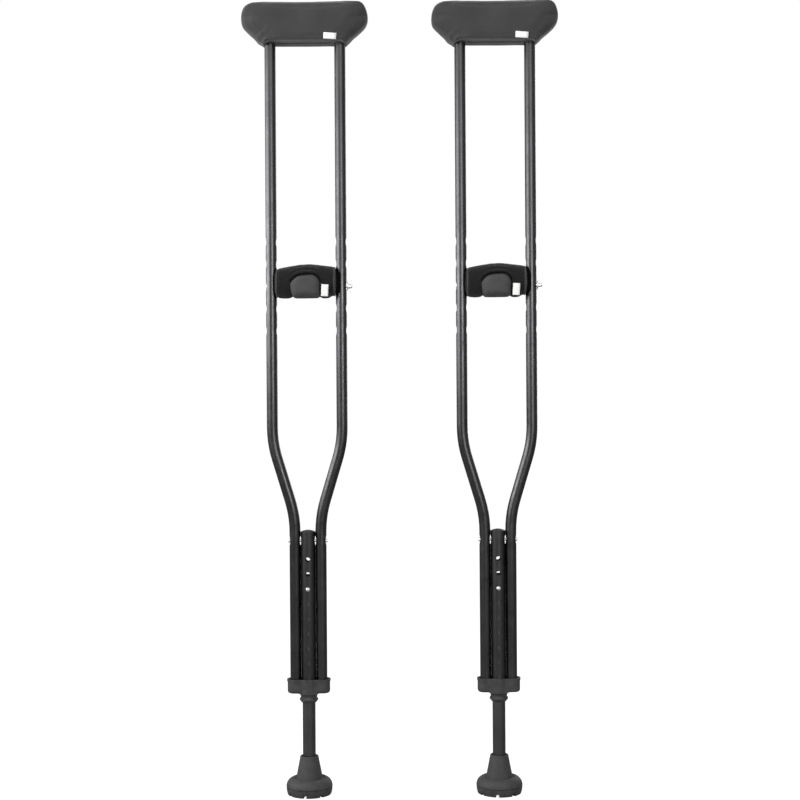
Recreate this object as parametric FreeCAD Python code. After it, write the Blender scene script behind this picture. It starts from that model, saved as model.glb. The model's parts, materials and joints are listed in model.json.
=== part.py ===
import FreeCAD, Part
import math
import os

# A pair of adjustable aluminium underarm crutches, standing side by side on their rubber tips.
# Millimetres, +Z up, -Y the front, origin on the floor midway between the two crutches.
# Every piece is made once, about the axis of its own crutch, and copied to the two places.

# ---- the pair ----
CRUTCH_SPACING = 326.5          # between the axes of the two crutches

# ---- uprights: 3/4 inch tube, bent in to run beside the centre tube ----
UPRIGHT_R = 9.525
UPRIGHT_WALL = 1.5
UPRIGHT_TOP_X = 60.0            # half spacing of the uprights at the hand grip
UPRIGHT_LOW_X = 22.28           # half spacing beside the centre tube
UPRIGHT_BOTTOM_Z = 176.0
UPRIGHT_TOP_Z = 1318.0
BEND_START_Z = 449.0
BEND_R = 190.0
BEND_ANGLE = 16.8

# ---- dimples pressed into the tubes where a bolt or rivet passes ----
DIMPLE_BALL_R = 17.0
DIMPLE_DEPTH = 2.3

# ---- hand grip height holes ----
GRIP_Z = 871.2                  # the hole in use
GRIP_PITCH = 38.1
GRIP_STEPS = (-2, -1, 0, 1, 2)
GRIP_HOLE_R = 3.5

# ---- centre tube: 1 inch, with the row of height holes ----
CENTRE_R = 12.7
CENTRE_WALL = 1.25
CENTRE_BOTTOM_Z = 176.0
CENTRE_TOP_Z = 448.8
TOP_HOLE_Z = 402.5
HOLE_PITCH = 25.4
HOLE_COUNT = 9
HOLE_R = 3.9
CAP_FLANGE = 1.0
CAP_DOME = 3.2

# ---- cross rivet that joins the three tubes ----
RIVET_Z = 434.3
RIVET_R = 2.4
RIVET_HEAD_R = 3.3
RIVET_HEAD_RISE = 1.9           # past the outside of the upright

# ---- leg tube: 7/8 inch, with its snap button in the third hole from the top ----
LEG_R = 11.1
LEG_WALL = 1.4
LEG_BOTTOM_Z = 12.0
LEG_TOP_Z = 372.6
BUTTON_Z = TOP_HOLE_Z - 2 * HOLE_PITCH
BUTTON_R = 3.7
BUTTON_STANDS_OUT = 2.9
BUTTON_BASE_Y = -8.65
SPRING_THICKNESS = 0.8
SPRING_WIDTH = 7.0
SPRING_ARM_Y = 8.6
SPRING_LOW_Z = 296.0
GLIDE_FLANGE = 1.4
GLIDE_DOME = 2.8
GLIDE_PLUG = 5.0

# ---- moulded collar that holds the feet of the three tubes ----
COLLAR_BOTTOM_Z = 173.0
COLLAR_TOP_Z = 197.0
COLLAR_WIDTH = 72.9
COLLAR_DEPTH = 28.0
COLLAR_BELLY_R = 17.0
COLLAR_LIP = 0.9
COLLAR_LIP_HEIGHT = 3.2
COLLAR_RIM = 2.6
COLLAR_TRAY_DEPTH = 5.0
SLEEVE_R = 15.9
SLEEVE_WAIST_R = 14.0
SLEEVE_FLARE_R = 21.0
SLEEVE_BOTTOM_Z = 157.0
SLEEVE_LIP_Z = 161.0
SLEEVE_BORE_R = 11.45
SOCKET_GAP = 0.1
SCREW_Z = 184.0
SCREW_R = 1.8
SCREW_HEAD_R = 3.6
SCREW_HEAD_DEPTH = 1.8

# ---- rubber tip ----
TIP_BASE_R = 37.4
TIP_WIDEST_R = 39.6
TIP_WIDEST_Z = 14.5
TIP_CREST_R = 27.6              # top of the dome round the neck
TIP_CREST_Z = 27.9
TIP_GROOVE_R = 24.2             # bottom of the groove between the dome and the neck
TIP_GROOVE_Z = 26.0
TIP_NECK_R = 22.8
TIP_NECK_Z = 26.7
TIP_RIM_R = 15.9
TIP_TOP_Z = 65.0
TIP_FLOOR_Z = 10.0
TIP_DISH_R = 25.0
TIP_DISH_DEPTH = 2.5
TREAD_NOTCHES = 8
TREAD_NOTCH_WIDTH = 5.6
TREAD_NOTCH_HEIGHT = 4.6
TREAD_NOTCH_INNER_R = 21.0
TREAD_CREASE_Z = 12.8
TREAD_CREASE_DEPTH = 1.4
TREAD_FIRST_ANGLE = -99.0       # 9 degrees off the front
WASHER_R = 10.8
WASHER_HOLE_R = 4.0
WASHER_THICKNESS = 1.6

# ---- underarm rest ----
PAD_HALF_WIDTH = 107.8
PAD_HALF_DEPTH = 26.0
PAD_TOP_MIDDLE_Z = 1353.0
PAD_SHOULDER_X = 91.0
PAD_SHOULDER_Z = 1356.8
PAD_WIDEST_Z = 1331.0
PAD_CHEEK_X = 100.6
PAD_CHEEK_Z = 1312.5
PAD_SKIRT_X = 71.5
PAD_SKIRT_Z = 1289.0
PAD_UNDERSIDE_X = 45.0
PAD_UNDERSIDE_Z = 1290.0
PAD_EDGE_R = 9.0
PAD_CORNER_R = 17.0
COVER_THICKNESS = 1.6
PAD_GAP = 0.3                   # foam and cover round the tubes and saddle
SADDLE_HALF_LENGTH = 92.0
SADDLE_HALF_DEPTH = 16.0
SADDLE_TOP_Z = 1337.0
SADDLE_DIP = 3.0
SADDLE_CORNER_R = 3.0
SPIGOT_R = 7.9
SPIGOT_LENGTH = 28.0
SADDLE_PIN_Z = 1303.0
SADDLE_PIN_R = 2.0
SADDLE_PIN_HEAD_R = 3.4
SADDLE_PIN_HEAD = 1.2
SADDLE_PIN_POCKET_R = 11.6

# ---- hand grip ----
GRIP_GAP = 0.4                  # between the grip's pieces and the uprights
CORE_R = 13.5
CORE_HALF_LENGTH = 54.0
CORE_BORE_R = 3.4
WRAP_LEFT_X = -56.0
WRAP_RIGHT_X = 59.5
WRAP_BOTTOM_Z = 850.5
WRAP_TOP_Z = 906.5
WRAP_LEFT_TOP_Z = 899.0
WRAP_RIGHT_TOP_Z = 901.5
WRAP_HALF_DEPTH = 23.0
WRAP_THICKNESS = 2.2
CUSHION_LEFT_X = -30.0
CUSHION_RIGHT_X = 24.5
CUSHION_BOTTOM_Z = 853.0
CUSHION_TOP_Z = 891.0
CUSHION_FRONT_Y = -29.0
CUSHION_EDGE_R = 5.0
STRIP_LENGTH = 84.0
STRIP_HEIGHT = 20.0
STRIP_THICKNESS = 1.4

# ---- grip bolt, washer and wing nut (1/4 inch thread) ----
BOLT_R = 3.1
BOLT_HEAD_R = 5.0
BOLT_HEAD_SINK = 0.5            # inside the outside of the upright
BOLT_END_X = 79.0
NUT_WASHER_R = 7.5
NUT_WASHER_THICKNESS = 1.2
NUT_GAP = 0.35
NUT_BORE_R = 3.16
NUT_HUB_R = 4.9
NUT_HUB_TIP_R = 4.1
NUT_LENGTH = 5.6
WING_R = 2.3
WING_ROOT = (2.8, 2.8)          # along and out from the foot of the hub
WING_END = (5.6, 7.6)
WING_THICKNESS = 2.6

# ---- blank sewn-in fabric tags: centre x, centre z, width, height, tilt ----
TAG_THICKNESS = 0.5
PAD_TAG = (42.0, 1295.2, 23.0, 12.0, -4.0)
PAD_TAG_Y = -26.2
GRIP_TAG = (32.2, 863.2, 12.4, 21.6, -3.0)
GRIP_TAG_Y = -24.1

X_AXIS = FreeCAD.Vector(1, 0, 0)
Y_AXIS = FreeCAD.Vector(0, 1, 0)
Z_AXIS = FreeCAD.Vector(0, 0, 1)
ORIGIN = FreeCAD.Vector(0, 0, 0)
SIDES = (-1, 1)


# ---------------------------------------------------------------- small helpers

def vec(x, y, z):
    return FreeCAD.Vector(x, y, z)


def rod(radius, start, end):
    """A solid cylinder from one point to another."""
    along = end.sub(start)
    return Part.makeCylinder(radius, along.Length, start, along)


def ball(radius, centre):
    return Part.makeSphere(radius, centre)


def dome(radius, rise, z):
    """A shallow dome about the Z axis, standing at height z."""
    ball_r = (radius ** 2 + rise ** 2) / (2 * rise)
    whole = ball(ball_r, vec(0, 0, z + rise - ball_r))
    return whole.common(rod(radius, vec(0, 0, z), vec(0, 0, z + 2 * rise)))


def block(x0, x1, y0, y1, z0, z1):
    return Part.makeBox(x1 - x0, y1 - y0, z1 - z0, vec(x0, y0, z0))


def line(start, end):
    return Part.LineSegment(start, end).toShape()


def arc(start, middle, end):
    return Part.Arc(start, middle, end).toShape()


def filled(edges, along):
    """Extrude the face inside a closed run of edges."""
    return Part.Face(Part.Wire(edges)).extrude(along)


def turned(edges):
    """Revolve the face inside a closed run of edges in the XZ plane about the Z axis."""
    return Part.Face(Part.Wire(edges)).revolve(ORIGIN, Z_AXIS, 360)


def cut_all(shape, tools):
    return shape.cut(Part.makeCompound(tools))


def clean(shape):
    return shape.removeSplitter()


def round_ended_bar(start, end, radius, thickness):
    """A flat bar with round ends, in the XZ plane and centred on it."""
    along = end.sub(start).normalize()
    across = vec(-along.z, 0, along.x).multiply(radius)
    beyond = vec(along.x, 0, along.z).multiply(radius)
    bar = filled([
        line(start.add(across), end.add(across)),
        arc(end.add(across), end.add(beyond), end.sub(across)),
        line(end.sub(across), start.sub(across)),
        arc(start.sub(across), start.sub(beyond), start.add(across)),
    ], vec(0, thickness, 0))
    bar.translate(vec(0, -thickness / 2, 0))
    return bar


def edge_rounded(shape, direction, radius):
    """Fillet every straight edge that runs along one direction."""
    edges = [e for e in shape.Edges if abs(e.tangentAt(e.FirstParameter).dot(direction)) > 0.99]
    return shape.makeFillet(radius, edges)


# ---------------------------------------------------------------- uprights

def upright_path():
    """Centreline of the right upright, from its foot in the collar up to the saddle."""
    angle = math.radians(BEND_ANGLE)
    across = BEND_R * (1 - math.cos(angle))
    across_half = BEND_R * (1 - math.cos(angle / 2))
    rise = BEND_R * math.sin(angle)
    rise_half = BEND_R * math.sin(angle / 2)
    slope_across = UPRIGHT_TOP_X - UPRIGHT_LOW_X - 2 * across
    slope_rise = slope_across / math.tan(angle)

    foot = vec(UPRIGHT_LOW_X, 0, UPRIGHT_BOTTOM_Z)
    low_start = vec(UPRIGHT_LOW_X, 0, BEND_START_Z)
    low_middle = vec(UPRIGHT_LOW_X + across_half, 0, BEND_START_Z + rise_half)
    low_end = vec(UPRIGHT_LOW_X + across, 0, BEND_START_Z + rise)
    high_start = vec(UPRIGHT_TOP_X - across, 0, low_end.z + slope_rise)
    high_end = vec(UPRIGHT_TOP_X, 0, high_start.z + rise)
    high_middle = vec(UPRIGHT_TOP_X - across_half, 0, high_end.z - rise_half)
    head = vec(UPRIGHT_TOP_X, 0, UPRIGHT_TOP_Z)
    return Part.Wire([
        line(foot, low_start),
        arc(low_start, low_middle, low_end),
        line(low_end, high_start),
        arc(high_start, high_middle, high_end),
        line(high_end, head),
    ])


def upright_rod(radius):
    ring = Part.Circle(vec(UPRIGHT_LOW_X, 0, UPRIGHT_BOTTOM_Z), Z_AXIS, radius).toShape()
    return upright_path().makePipeShell([Part.Wire([ring])], True, False)


def dimple_ball(tube_x, tube_r, side, z, extra=0.0):
    """The ball that presses a dimple into one side of a tube."""
    centre_x = tube_x + side * (tube_r - DIMPLE_DEPTH + DIMPLE_BALL_R)
    return ball(DIMPLE_BALL_R + extra, vec(centre_x, 0, z))


def grip_heights():
    return [GRIP_Z + step * GRIP_PITCH for step in GRIP_STEPS]


def upright_dimples(extra=0.0):
    dimples = []
    for side in SIDES:
        for z in grip_heights():
            dimples.append(dimple_ball(UPRIGHT_TOP_X, UPRIGHT_R, side, z, extra))
        dimples.append(dimple_ball(UPRIGHT_LOW_X, UPRIGHT_R, side, RIVET_Z, extra))
    return dimples


def upright():
    """The right upright: a dimpled tube with its holes."""
    outside = cut_all(upright_rod(UPRIGHT_R), upright_dimples())
    inside = cut_all(upright_rod(UPRIGHT_R - UPRIGHT_WALL), upright_dimples(UPRIGHT_WALL))
    holes = []
    for z in grip_heights():
        holes.append(rod(GRIP_HOLE_R, vec(UPRIGHT_TOP_X - 20, 0, z), vec(UPRIGHT_TOP_X + 20, 0, z)))
    holes.append(rod(RIVET_R, vec(0, 0, RIVET_Z), vec(2 * UPRIGHT_LOW_X, 0, RIVET_Z)))
    holes.append(rod(SCREW_R, vec(UPRIGHT_LOW_X, 0, SCREW_Z), vec(UPRIGHT_LOW_X, 20, SCREW_Z)))
    pin_front = vec(UPRIGHT_TOP_X, -20, SADDLE_PIN_Z)
    pin_back = vec(UPRIGHT_TOP_X, 20, SADDLE_PIN_Z)
    holes.append(rod(SADDLE_PIN_R, pin_front, pin_back))
    return cut_all(outside.cut(inside), holes)


# ---------------------------------------------------------------- centre tube

def hole_heights():
    return [TOP_HOLE_Z - number * HOLE_PITCH for number in range(HOLE_COUNT)]


def centre_tube():
    """The tube that the leg slides in, with height holes front to back."""
    foot = vec(0, 0, CENTRE_BOTTOM_Z)
    head = vec(0, 0, CENTRE_TOP_Z)
    dimples = [dimple_ball(0, CENTRE_R, side, RIVET_Z) for side in SIDES]
    thick_dimples = [dimple_ball(0, CENTRE_R, side, RIVET_Z, CENTRE_WALL) for side in SIDES]
    outside = cut_all(rod(CENTRE_R, foot, head), dimples)
    inside = cut_all(rod(CENTRE_R - CENTRE_WALL, foot, head), thick_dimples)
    holes = [rod(HOLE_R, vec(0, -20, z), vec(0, 20, z)) for z in hole_heights()]
    holes.append(rod(RIVET_R, vec(-20, 0, RIVET_Z), vec(20, 0, RIVET_Z)))
    return cut_all(outside.cut(inside), holes)


def centre_tube_cap():
    """Domed plastic plug in the top of the centre tube."""
    plug_r = CENTRE_R - CENTRE_WALL - 0.05
    plug = rod(plug_r, vec(0, 0, CENTRE_TOP_Z - 2.5), vec(0, 0, CENTRE_TOP_Z))
    flange_top = CENTRE_TOP_Z + CAP_FLANGE
    flange = rod(CENTRE_R, vec(0, 0, CENTRE_TOP_Z), vec(0, 0, flange_top))
    return clean(plug.fuse([flange, dome(CENTRE_R, CAP_DOME, flange_top)]))


def cross_rivet():
    """One long rivet through both uprights and the centre tube, headed in the outer dimples."""
    dimple_floor = UPRIGHT_LOW_X + UPRIGHT_R - DIMPLE_DEPTH
    head_end = UPRIGHT_LOW_X + UPRIGHT_R + RIVET_HEAD_RISE
    shank_end = dimple_floor + 1
    shank = rod(RIVET_R, vec(-shank_end, 0, RIVET_Z), vec(shank_end, 0, RIVET_Z))
    heads = []
    for side in SIDES:
        head = rod(RIVET_HEAD_R, vec(side * (dimple_floor - 1), 0, RIVET_Z), vec(side * head_end, 0, RIVET_Z))
        head = head.makeFillet(1.6, [e for e in head.Edges if abs(e.CenterOfMass.x) > head_end - 0.01])
        heads.append(head.common(dimple_ball(side * UPRIGHT_LOW_X, UPRIGHT_R, side, RIVET_Z, -0.02)))
    return clean(shank.fuse(heads))


# ---------------------------------------------------------------- collar

def rounded_slab(width, depth, corner_r, z0, z1):
    slab = block(-width / 2, width / 2, -depth / 2, depth / 2, z0, z1)
    return edge_rounded(slab, Z_AXIS, corner_r)


def collar_plan(extra, z0, z1):
    """The collar's outline from above: a rounded slab with a round belly in the middle."""
    slab = rounded_slab(COLLAR_WIDTH + 2 * extra, COLLAR_DEPTH + 2 * extra, 12.0 + extra, z0, z1)
    belly = rod(COLLAR_BELLY_R + extra, vec(0, 0, z0), vec(0, 0, z1))
    return slab.fuse(belly)


def collar_haunch():
    """The flare under the slab that runs down into the sleeve round the leg tube."""
    lip_top_z = SLEEVE_LIP_Z + 2.4
    waist_z = COLLAR_BOTTOM_Z - 7.2
    buried_z = COLLAR_BOTTOM_Z + 3.0
    foot_r = SLEEVE_BORE_R + 1.2
    curve = vec(SLEEVE_WAIST_R + 1.7, 0, waist_z + 4.7)
    return turned([
        line(vec(0, 0, SLEEVE_BOTTOM_Z), vec(foot_r, 0, SLEEVE_BOTTOM_Z)),
        line(vec(foot_r, 0, SLEEVE_BOTTOM_Z), vec(SLEEVE_R, 0, SLEEVE_LIP_Z)),
        line(vec(SLEEVE_R, 0, SLEEVE_LIP_Z), vec(SLEEVE_R, 0, lip_top_z)),
        line(vec(SLEEVE_R, 0, lip_top_z), vec(SLEEVE_WAIST_R, 0, waist_z)),
        arc(vec(SLEEVE_WAIST_R, 0, waist_z), curve, vec(SLEEVE_FLARE_R, 0, COLLAR_BOTTOM_Z)),
        line(vec(SLEEVE_FLARE_R, 0, COLLAR_BOTTOM_Z), vec(SLEEVE_FLARE_R, 0, buried_z)),
        line(vec(SLEEVE_FLARE_R, 0, buried_z), vec(0, 0, buried_z)),
        line(vec(0, 0, buried_z), vec(0, 0, SLEEVE_BOTTOM_Z)),
    ])


def leg_collar():
    slab = rounded_slab(COLLAR_WIDTH, COLLAR_DEPTH, 12.0, COLLAR_BOTTOM_Z, COLLAR_TOP_Z)
    underside = [e for e in slab.Edges if abs(e.CenterOfMass.z - COLLAR_BOTTOM_Z) < 0.01]
    slab = slab.makeFillet(4.5, underside)
    belly = rod(COLLAR_BELLY_R, vec(0, 0, COLLAR_BOTTOM_Z), vec(0, 0, COLLAR_TOP_Z))
    lip = collar_plan(COLLAR_LIP, COLLAR_TOP_Z - COLLAR_LIP_HEIGHT, COLLAR_TOP_Z)
    haunch = collar_haunch().common(collar_plan(0.0, SLEEVE_BOTTOM_Z - 1, COLLAR_TOP_Z))
    outside = clean(slab.fuse([belly, lip, haunch]))

    tray = collar_plan(-COLLAR_RIM, COLLAR_TOP_Z - COLLAR_TRAY_DEPTH, COLLAR_TOP_Z + 1)
    centre_socket = rod(CENTRE_R + SOCKET_GAP, vec(0, 0, CENTRE_BOTTOM_Z), vec(0, 0, COLLAR_TOP_Z))
    leg_bore = rod(SLEEVE_BORE_R, vec(0, 0, SLEEVE_BOTTOM_Z - 1), vec(0, 0, COLLAR_TOP_Z))
    hollows = [tray, centre_socket, leg_bore]
    for side in SIDES:
        x = side * UPRIGHT_LOW_X
        hollows.append(rod(UPRIGHT_R + SOCKET_GAP, vec(x, 0, UPRIGHT_BOTTOM_Z), vec(x, 0, COLLAR_TOP_Z)))
        hollows.append(rod(SCREW_R, vec(x, 0, SCREW_Z), vec(x, 20, SCREW_Z)))
    return clean(cut_all(outside, hollows))


def collar_screws():
    """Two self-tapping screws that pin the uprights into the collar from behind."""
    screws = []
    back_y = COLLAR_DEPTH / 2
    for side in SIDES:
        x = side * UPRIGHT_LOW_X
        shank = rod(SCREW_R, vec(x, UPRIGHT_R - UPRIGHT_WALL - 2.5, SCREW_Z), vec(x, back_y, SCREW_Z))
        head = rod(SCREW_HEAD_R, vec(x, back_y, SCREW_Z), vec(x, back_y + SCREW_HEAD_DEPTH, SCREW_Z))
        head = head.makeChamfer(0.8, [e for e in head.Edges if e.CenterOfMass.y > back_y + 1])
        slot = block(x - 3, x + 3, back_y + 1.0, back_y + 3, SCREW_Z - 0.45, SCREW_Z + 0.45)
        cross = block(x - 0.45, x + 0.45, back_y + 1.0, back_y + 3, SCREW_Z - 3, SCREW_Z + 3)
        recess = slot.fuse(cross).common(rod(2.2, vec(x, 0, SCREW_Z), vec(x, 20, SCREW_Z)))
        screws.append(shank.fuse(head).cut(recess))
    return Part.makeCompound(screws)


# ---------------------------------------------------------------- leg

def leg_tube():
    foot = vec(0, 0, LEG_BOTTOM_Z)
    head = vec(0, 0, LEG_TOP_Z)
    tube = rod(LEG_R, foot, head).cut(rod(LEG_R - LEG_WALL, foot, head))
    return tube.cut(rod(HOLE_R, vec(0, -20, BUTTON_Z), vec(0, 0, BUTTON_Z)))


def leg_top_glide():
    """Domed plastic plug that guides the top of the leg in the centre tube."""
    flange_top = LEG_TOP_Z + GLIDE_FLANGE
    flange = rod(LEG_R, vec(0, 0, LEG_TOP_Z), vec(0, 0, flange_top))
    plug = rod(LEG_R - LEG_WALL - 0.1, vec(0, 0, LEG_TOP_Z - GLIDE_PLUG), vec(0, 0, LEG_TOP_Z))
    return clean(flange.fuse([plug, dome(LEG_R, GLIDE_DOME, flange_top)]))


def snap_button():
    """Domed steel button that stands out through the leg and the centre tube."""
    tip_y = -CENTRE_R - BUTTON_STANDS_OUT
    dome_start_y = tip_y + BUTTON_R * 0.62
    barrel = rod(BUTTON_R, vec(0, BUTTON_BASE_Y, BUTTON_Z), vec(0, dome_start_y, BUTTON_Z))
    rise = dome_start_y - tip_y
    dome_r = (BUTTON_R ** 2 + rise ** 2) / (2 * rise)
    dome = ball(dome_r, vec(0, tip_y + dome_r, BUTTON_Z))
    dome = dome.common(rod(BUTTON_R, vec(0, dome_start_y, BUTTON_Z), vec(0, tip_y - 1, BUTTON_Z)))
    return clean(barrel.fuse(dome))


def spring_clip():
    """Bent leaf spring inside the leg: the front arm carries the button, the back arm the wall."""
    top_z = BUTTON_Z + 7.5
    knee_z = BUTTON_Z - 12.0
    outer = SPRING_ARM_Y
    inner = SPRING_ARM_Y - SPRING_THICKNESS
    outer_toe = 3.0
    inner_toe = outer_toe - SPRING_THICKNESS
    toe_z = SPRING_LOW_Z + outer_toe
    edges = [
        line(vec(0, -outer, top_z), vec(0, -outer, knee_z)),
        line(vec(0, -outer, knee_z), vec(0, -outer_toe, toe_z)),
        arc(vec(0, -outer_toe, toe_z), vec(0, 0, SPRING_LOW_Z), vec(0, outer_toe, toe_z)),
        line(vec(0, outer_toe, toe_z), vec(0, outer, knee_z)),
        line(vec(0, outer, knee_z), vec(0, outer, top_z)),
        line(vec(0, outer, top_z), vec(0, inner, top_z)),
        line(vec(0, inner, top_z), vec(0, inner, knee_z)),
        line(vec(0, inner, knee_z), vec(0, inner_toe, toe_z)),
        arc(vec(0, inner_toe, toe_z), vec(0, 0, SPRING_LOW_Z + SPRING_THICKNESS), vec(0, -inner_toe, toe_z)),
        line(vec(0, -inner_toe, toe_z), vec(0, -inner, knee_z)),
        line(vec(0, -inner, knee_z), vec(0, -inner, top_z)),
        line(vec(0, -inner, top_z), vec(0, -outer, top_z)),
    ]
    strip = filled(edges, vec(SPRING_WIDTH, 0, 0))
    strip.translate(vec(-SPRING_WIDTH / 2, 0, 0))
    return strip


# ---------------------------------------------------------------- rubber tip

def tip_body():
    """The turned form of the tip: a wide domed foot, a groove, a tapered neck and a socket for the leg."""
    sole = vec(TIP_BASE_R, 0, 0)
    widest = vec(TIP_WIDEST_R, 0, TIP_WIDEST_Z)
    crest = vec(TIP_CREST_R, 0, TIP_CREST_Z)
    groove = vec(TIP_GROOVE_R, 0, TIP_GROOVE_Z)
    neck = vec(TIP_NECK_R, 0, TIP_NECK_Z)
    rim_low = vec(TIP_RIM_R, 0, TIP_TOP_Z - 2.5)
    rim_top = vec(TIP_RIM_R - 1.4, 0, TIP_TOP_Z)
    mouth = vec(TIP_RIM_R - 2.2, 0, TIP_TOP_Z)
    throat = vec(LEG_R + 0.02, 0, TIP_TOP_Z - 6.5)
    socket = vec(LEG_R + 0.02, 0, TIP_FLOOR_Z)
    dish = vec(TIP_DISH_R, 0, 0)
    dish_top = vec(TIP_DISH_R - 1.5, 0, TIP_DISH_DEPTH)
    return turned([
        line(dish, sole),
        arc(sole, vec(TIP_WIDEST_R - 0.5, 0, TIP_WIDEST_Z * 0.5), widest),
        arc(widest, vec(TIP_WIDEST_R - 4.0, 0, TIP_WIDEST_Z + 9.1), crest),
        arc(crest, vec(TIP_GROOVE_R + 1.3, 0, TIP_CREST_Z - 0.5), groove),
        line(groove, neck),
        line(neck, rim_low),
        arc(rim_low, vec(TIP_RIM_R - 0.4, 0, TIP_TOP_Z - 0.7), rim_top),
        line(rim_top, mouth),
        line(mouth, throat),
        line(throat, socket),
        line(socket, vec(0, 0, TIP_FLOOR_Z)),
        line(vec(0, 0, TIP_FLOOR_Z), vec(0, 0, TIP_DISH_DEPTH)),
        line(vec(0, 0, TIP_DISH_DEPTH), dish_top),
        line(dish_top, dish),
    ])


def crease(radius, z, depth):
    """A fine V groove round the foot of the tip."""
    return turned([
        line(vec(radius - depth, 0, z), vec(radius + 2, 0, z - 1.6)),
        line(vec(radius + 2, 0, z - 1.6), vec(radius + 2, 0, z + 1.6)),
        line(vec(radius + 2, 0, z + 1.6), vec(radius - depth, 0, z)),
    ])


def leg_tip():
    notches = [crease(TIP_WIDEST_R, TREAD_CREASE_Z, TREAD_CREASE_DEPTH)]
    for number in range(TREAD_NOTCHES):
        notch = block(TREAD_NOTCH_INNER_R, TIP_WIDEST_R + 5,
                      -TREAD_NOTCH_WIDTH / 2, TREAD_NOTCH_WIDTH / 2,
                      -1, TREAD_NOTCH_HEIGHT)
        angle = TREAD_FIRST_ANGLE + number * 360 / TREAD_NOTCHES
        notch.rotate(ORIGIN, Z_AXIS, angle)
        notches.append(notch)
    return clean(cut_all(tip_body(), notches))


def tip_washer():
    """Steel disc in the floor of the tip's socket, under the end of the leg tube."""
    low = vec(0, 0, TIP_FLOOR_Z + 0.1)
    high = vec(0, 0, TIP_FLOOR_Z + 0.1 + WASHER_THICKNESS)
    return rod(WASHER_R, low, high).cut(rod(WASHER_HOLE_R, low, high))


# ---------------------------------------------------------------- underarm rest

def pad_outline(inset):
    """Front view of the underarm rest, as a closed run of edges at the back face."""
    y = PAD_HALF_DEPTH - inset
    shoulder_x = PAD_SHOULDER_X - 0.3 * inset
    shoulder_z = PAD_SHOULDER_Z - inset
    widest_x = PAD_HALF_WIDTH - inset
    cheek_x = PAD_CHEEK_X - inset
    cheek_z = PAD_CHEEK_Z + 0.4 * inset
    skirt_x = PAD_SKIRT_X - 0.6 * inset
    skirt_z = PAD_SKIRT_Z + inset
    under_z = PAD_UNDERSIDE_Z + inset

    left_shoulder = vec(-shoulder_x, y, shoulder_z)
    shoulder = vec(shoulder_x, y, shoulder_z)
    widest = vec(widest_x, y, PAD_WIDEST_Z)
    cheek = vec(cheek_x, y, cheek_z)
    edges = [arc(left_shoulder, vec(0, y, PAD_TOP_MIDDLE_Z - inset), shoulder)]
    right = [
        arc(shoulder, vec(widest_x - 3.6, y, shoulder_z - 8.0), widest),
        arc(widest, vec(widest_x - 1.6, y, PAD_WIDEST_Z - 10.5), cheek),
        line(cheek, vec(skirt_x, y, skirt_z)),
        line(vec(skirt_x, y, skirt_z), vec(PAD_UNDERSIDE_X, y, under_z)),
    ]
    edges.extend(right)
    edges.append(line(vec(PAD_UNDERSIDE_X, y, under_z), vec(-PAD_UNDERSIDE_X, y, under_z)))
    for edge in reversed(right):
        edges.append(edge.mirror(ORIGIN, X_AXIS))
    return edges


def pad_form(inset=0.0):
    """The rest's whole body: its front view, rounded in side view and from above."""
    x = PAD_HALF_WIDTH - inset
    y = PAD_HALF_DEPTH - inset
    low = PAD_SKIRT_Z - 4 + inset
    high = PAD_SHOULDER_Z - inset
    front_view = filled(Part.sortEdges(pad_outline(inset))[0], vec(0, -2 * y, 0))
    side_view = edge_rounded(block(-x - 5, x + 5, -y, y, low, high), X_AXIS, PAD_EDGE_R - inset)
    top_view = edge_rounded(block(-x, x, -y, y, low - 5, high + 5), Z_AXIS, PAD_CORNER_R - inset)
    return front_view.common(side_view).common(top_view)


def saddle_beam(grow=0.0):
    """The stiff rest that spans the two uprights, dished on top."""
    x = SADDLE_HALF_LENGTH + grow
    y = SADDLE_HALF_DEPTH + grow
    low = UPRIGHT_TOP_Z - grow
    high = SADDLE_TOP_Z + grow
    edges = [
        arc(vec(-x, y, high), vec(0, y, high - SADDLE_DIP), vec(x, y, high)),
        line(vec(x, y, high), vec(x, y, low + 8)),
        line(vec(x, y, low + 8), vec(x - 16, y, low)),
        line(vec(x - 16, y, low), vec(-x + 16, y, low)),
        line(vec(-x + 16, y, low), vec(-x, y, low + 8)),
        line(vec(-x, y, low + 8), vec(-x, y, high)),
    ]
    return filled(edges, vec(0, -2 * y, 0))


def underarm_saddle():
    """Moulded rest with a spigot down the inside of each upright."""
    beam = edge_rounded(saddle_beam(), Y_AXIS, SADDLE_CORNER_R)
    spigots = []
    pin_holes = []
    for side in SIDES:
        x = side * UPRIGHT_TOP_X
        spigots.append(rod(SPIGOT_R, vec(x, 0, UPRIGHT_TOP_Z - SPIGOT_LENGTH), vec(x, 0, UPRIGHT_TOP_Z + 1)))
        pin_holes.append(rod(SADDLE_PIN_R, vec(x, -20, SADDLE_PIN_Z), vec(x, 20, SADDLE_PIN_Z)))
    return cut_all(clean(beam.fuse(spigots)), pin_holes)


def saddle_pins():
    """One rivet through each upright and its spigot."""
    pins = []
    reach = UPRIGHT_R + SADDLE_PIN_HEAD
    for side in SIDES:
        x = side * UPRIGHT_TOP_X
        shank = rod(SADDLE_PIN_R, vec(x, -reach, SADDLE_PIN_Z), vec(x, reach, SADDLE_PIN_Z))
        heads = []
        for face in SIDES:
            inner = vec(x, face * 5, SADDLE_PIN_Z)
            heads.append(rod(SADDLE_PIN_HEAD_R, inner, vec(x, face * reach, SADDLE_PIN_Z)))
        tube = rod(UPRIGHT_R, vec(x, 0, SADDLE_PIN_Z - 10), vec(x, 0, SADDLE_PIN_Z + 10))
        pins.append(clean(shank.fuse([head.cut(tube) for head in heads])))
    return Part.makeCompound(pins)


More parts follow.
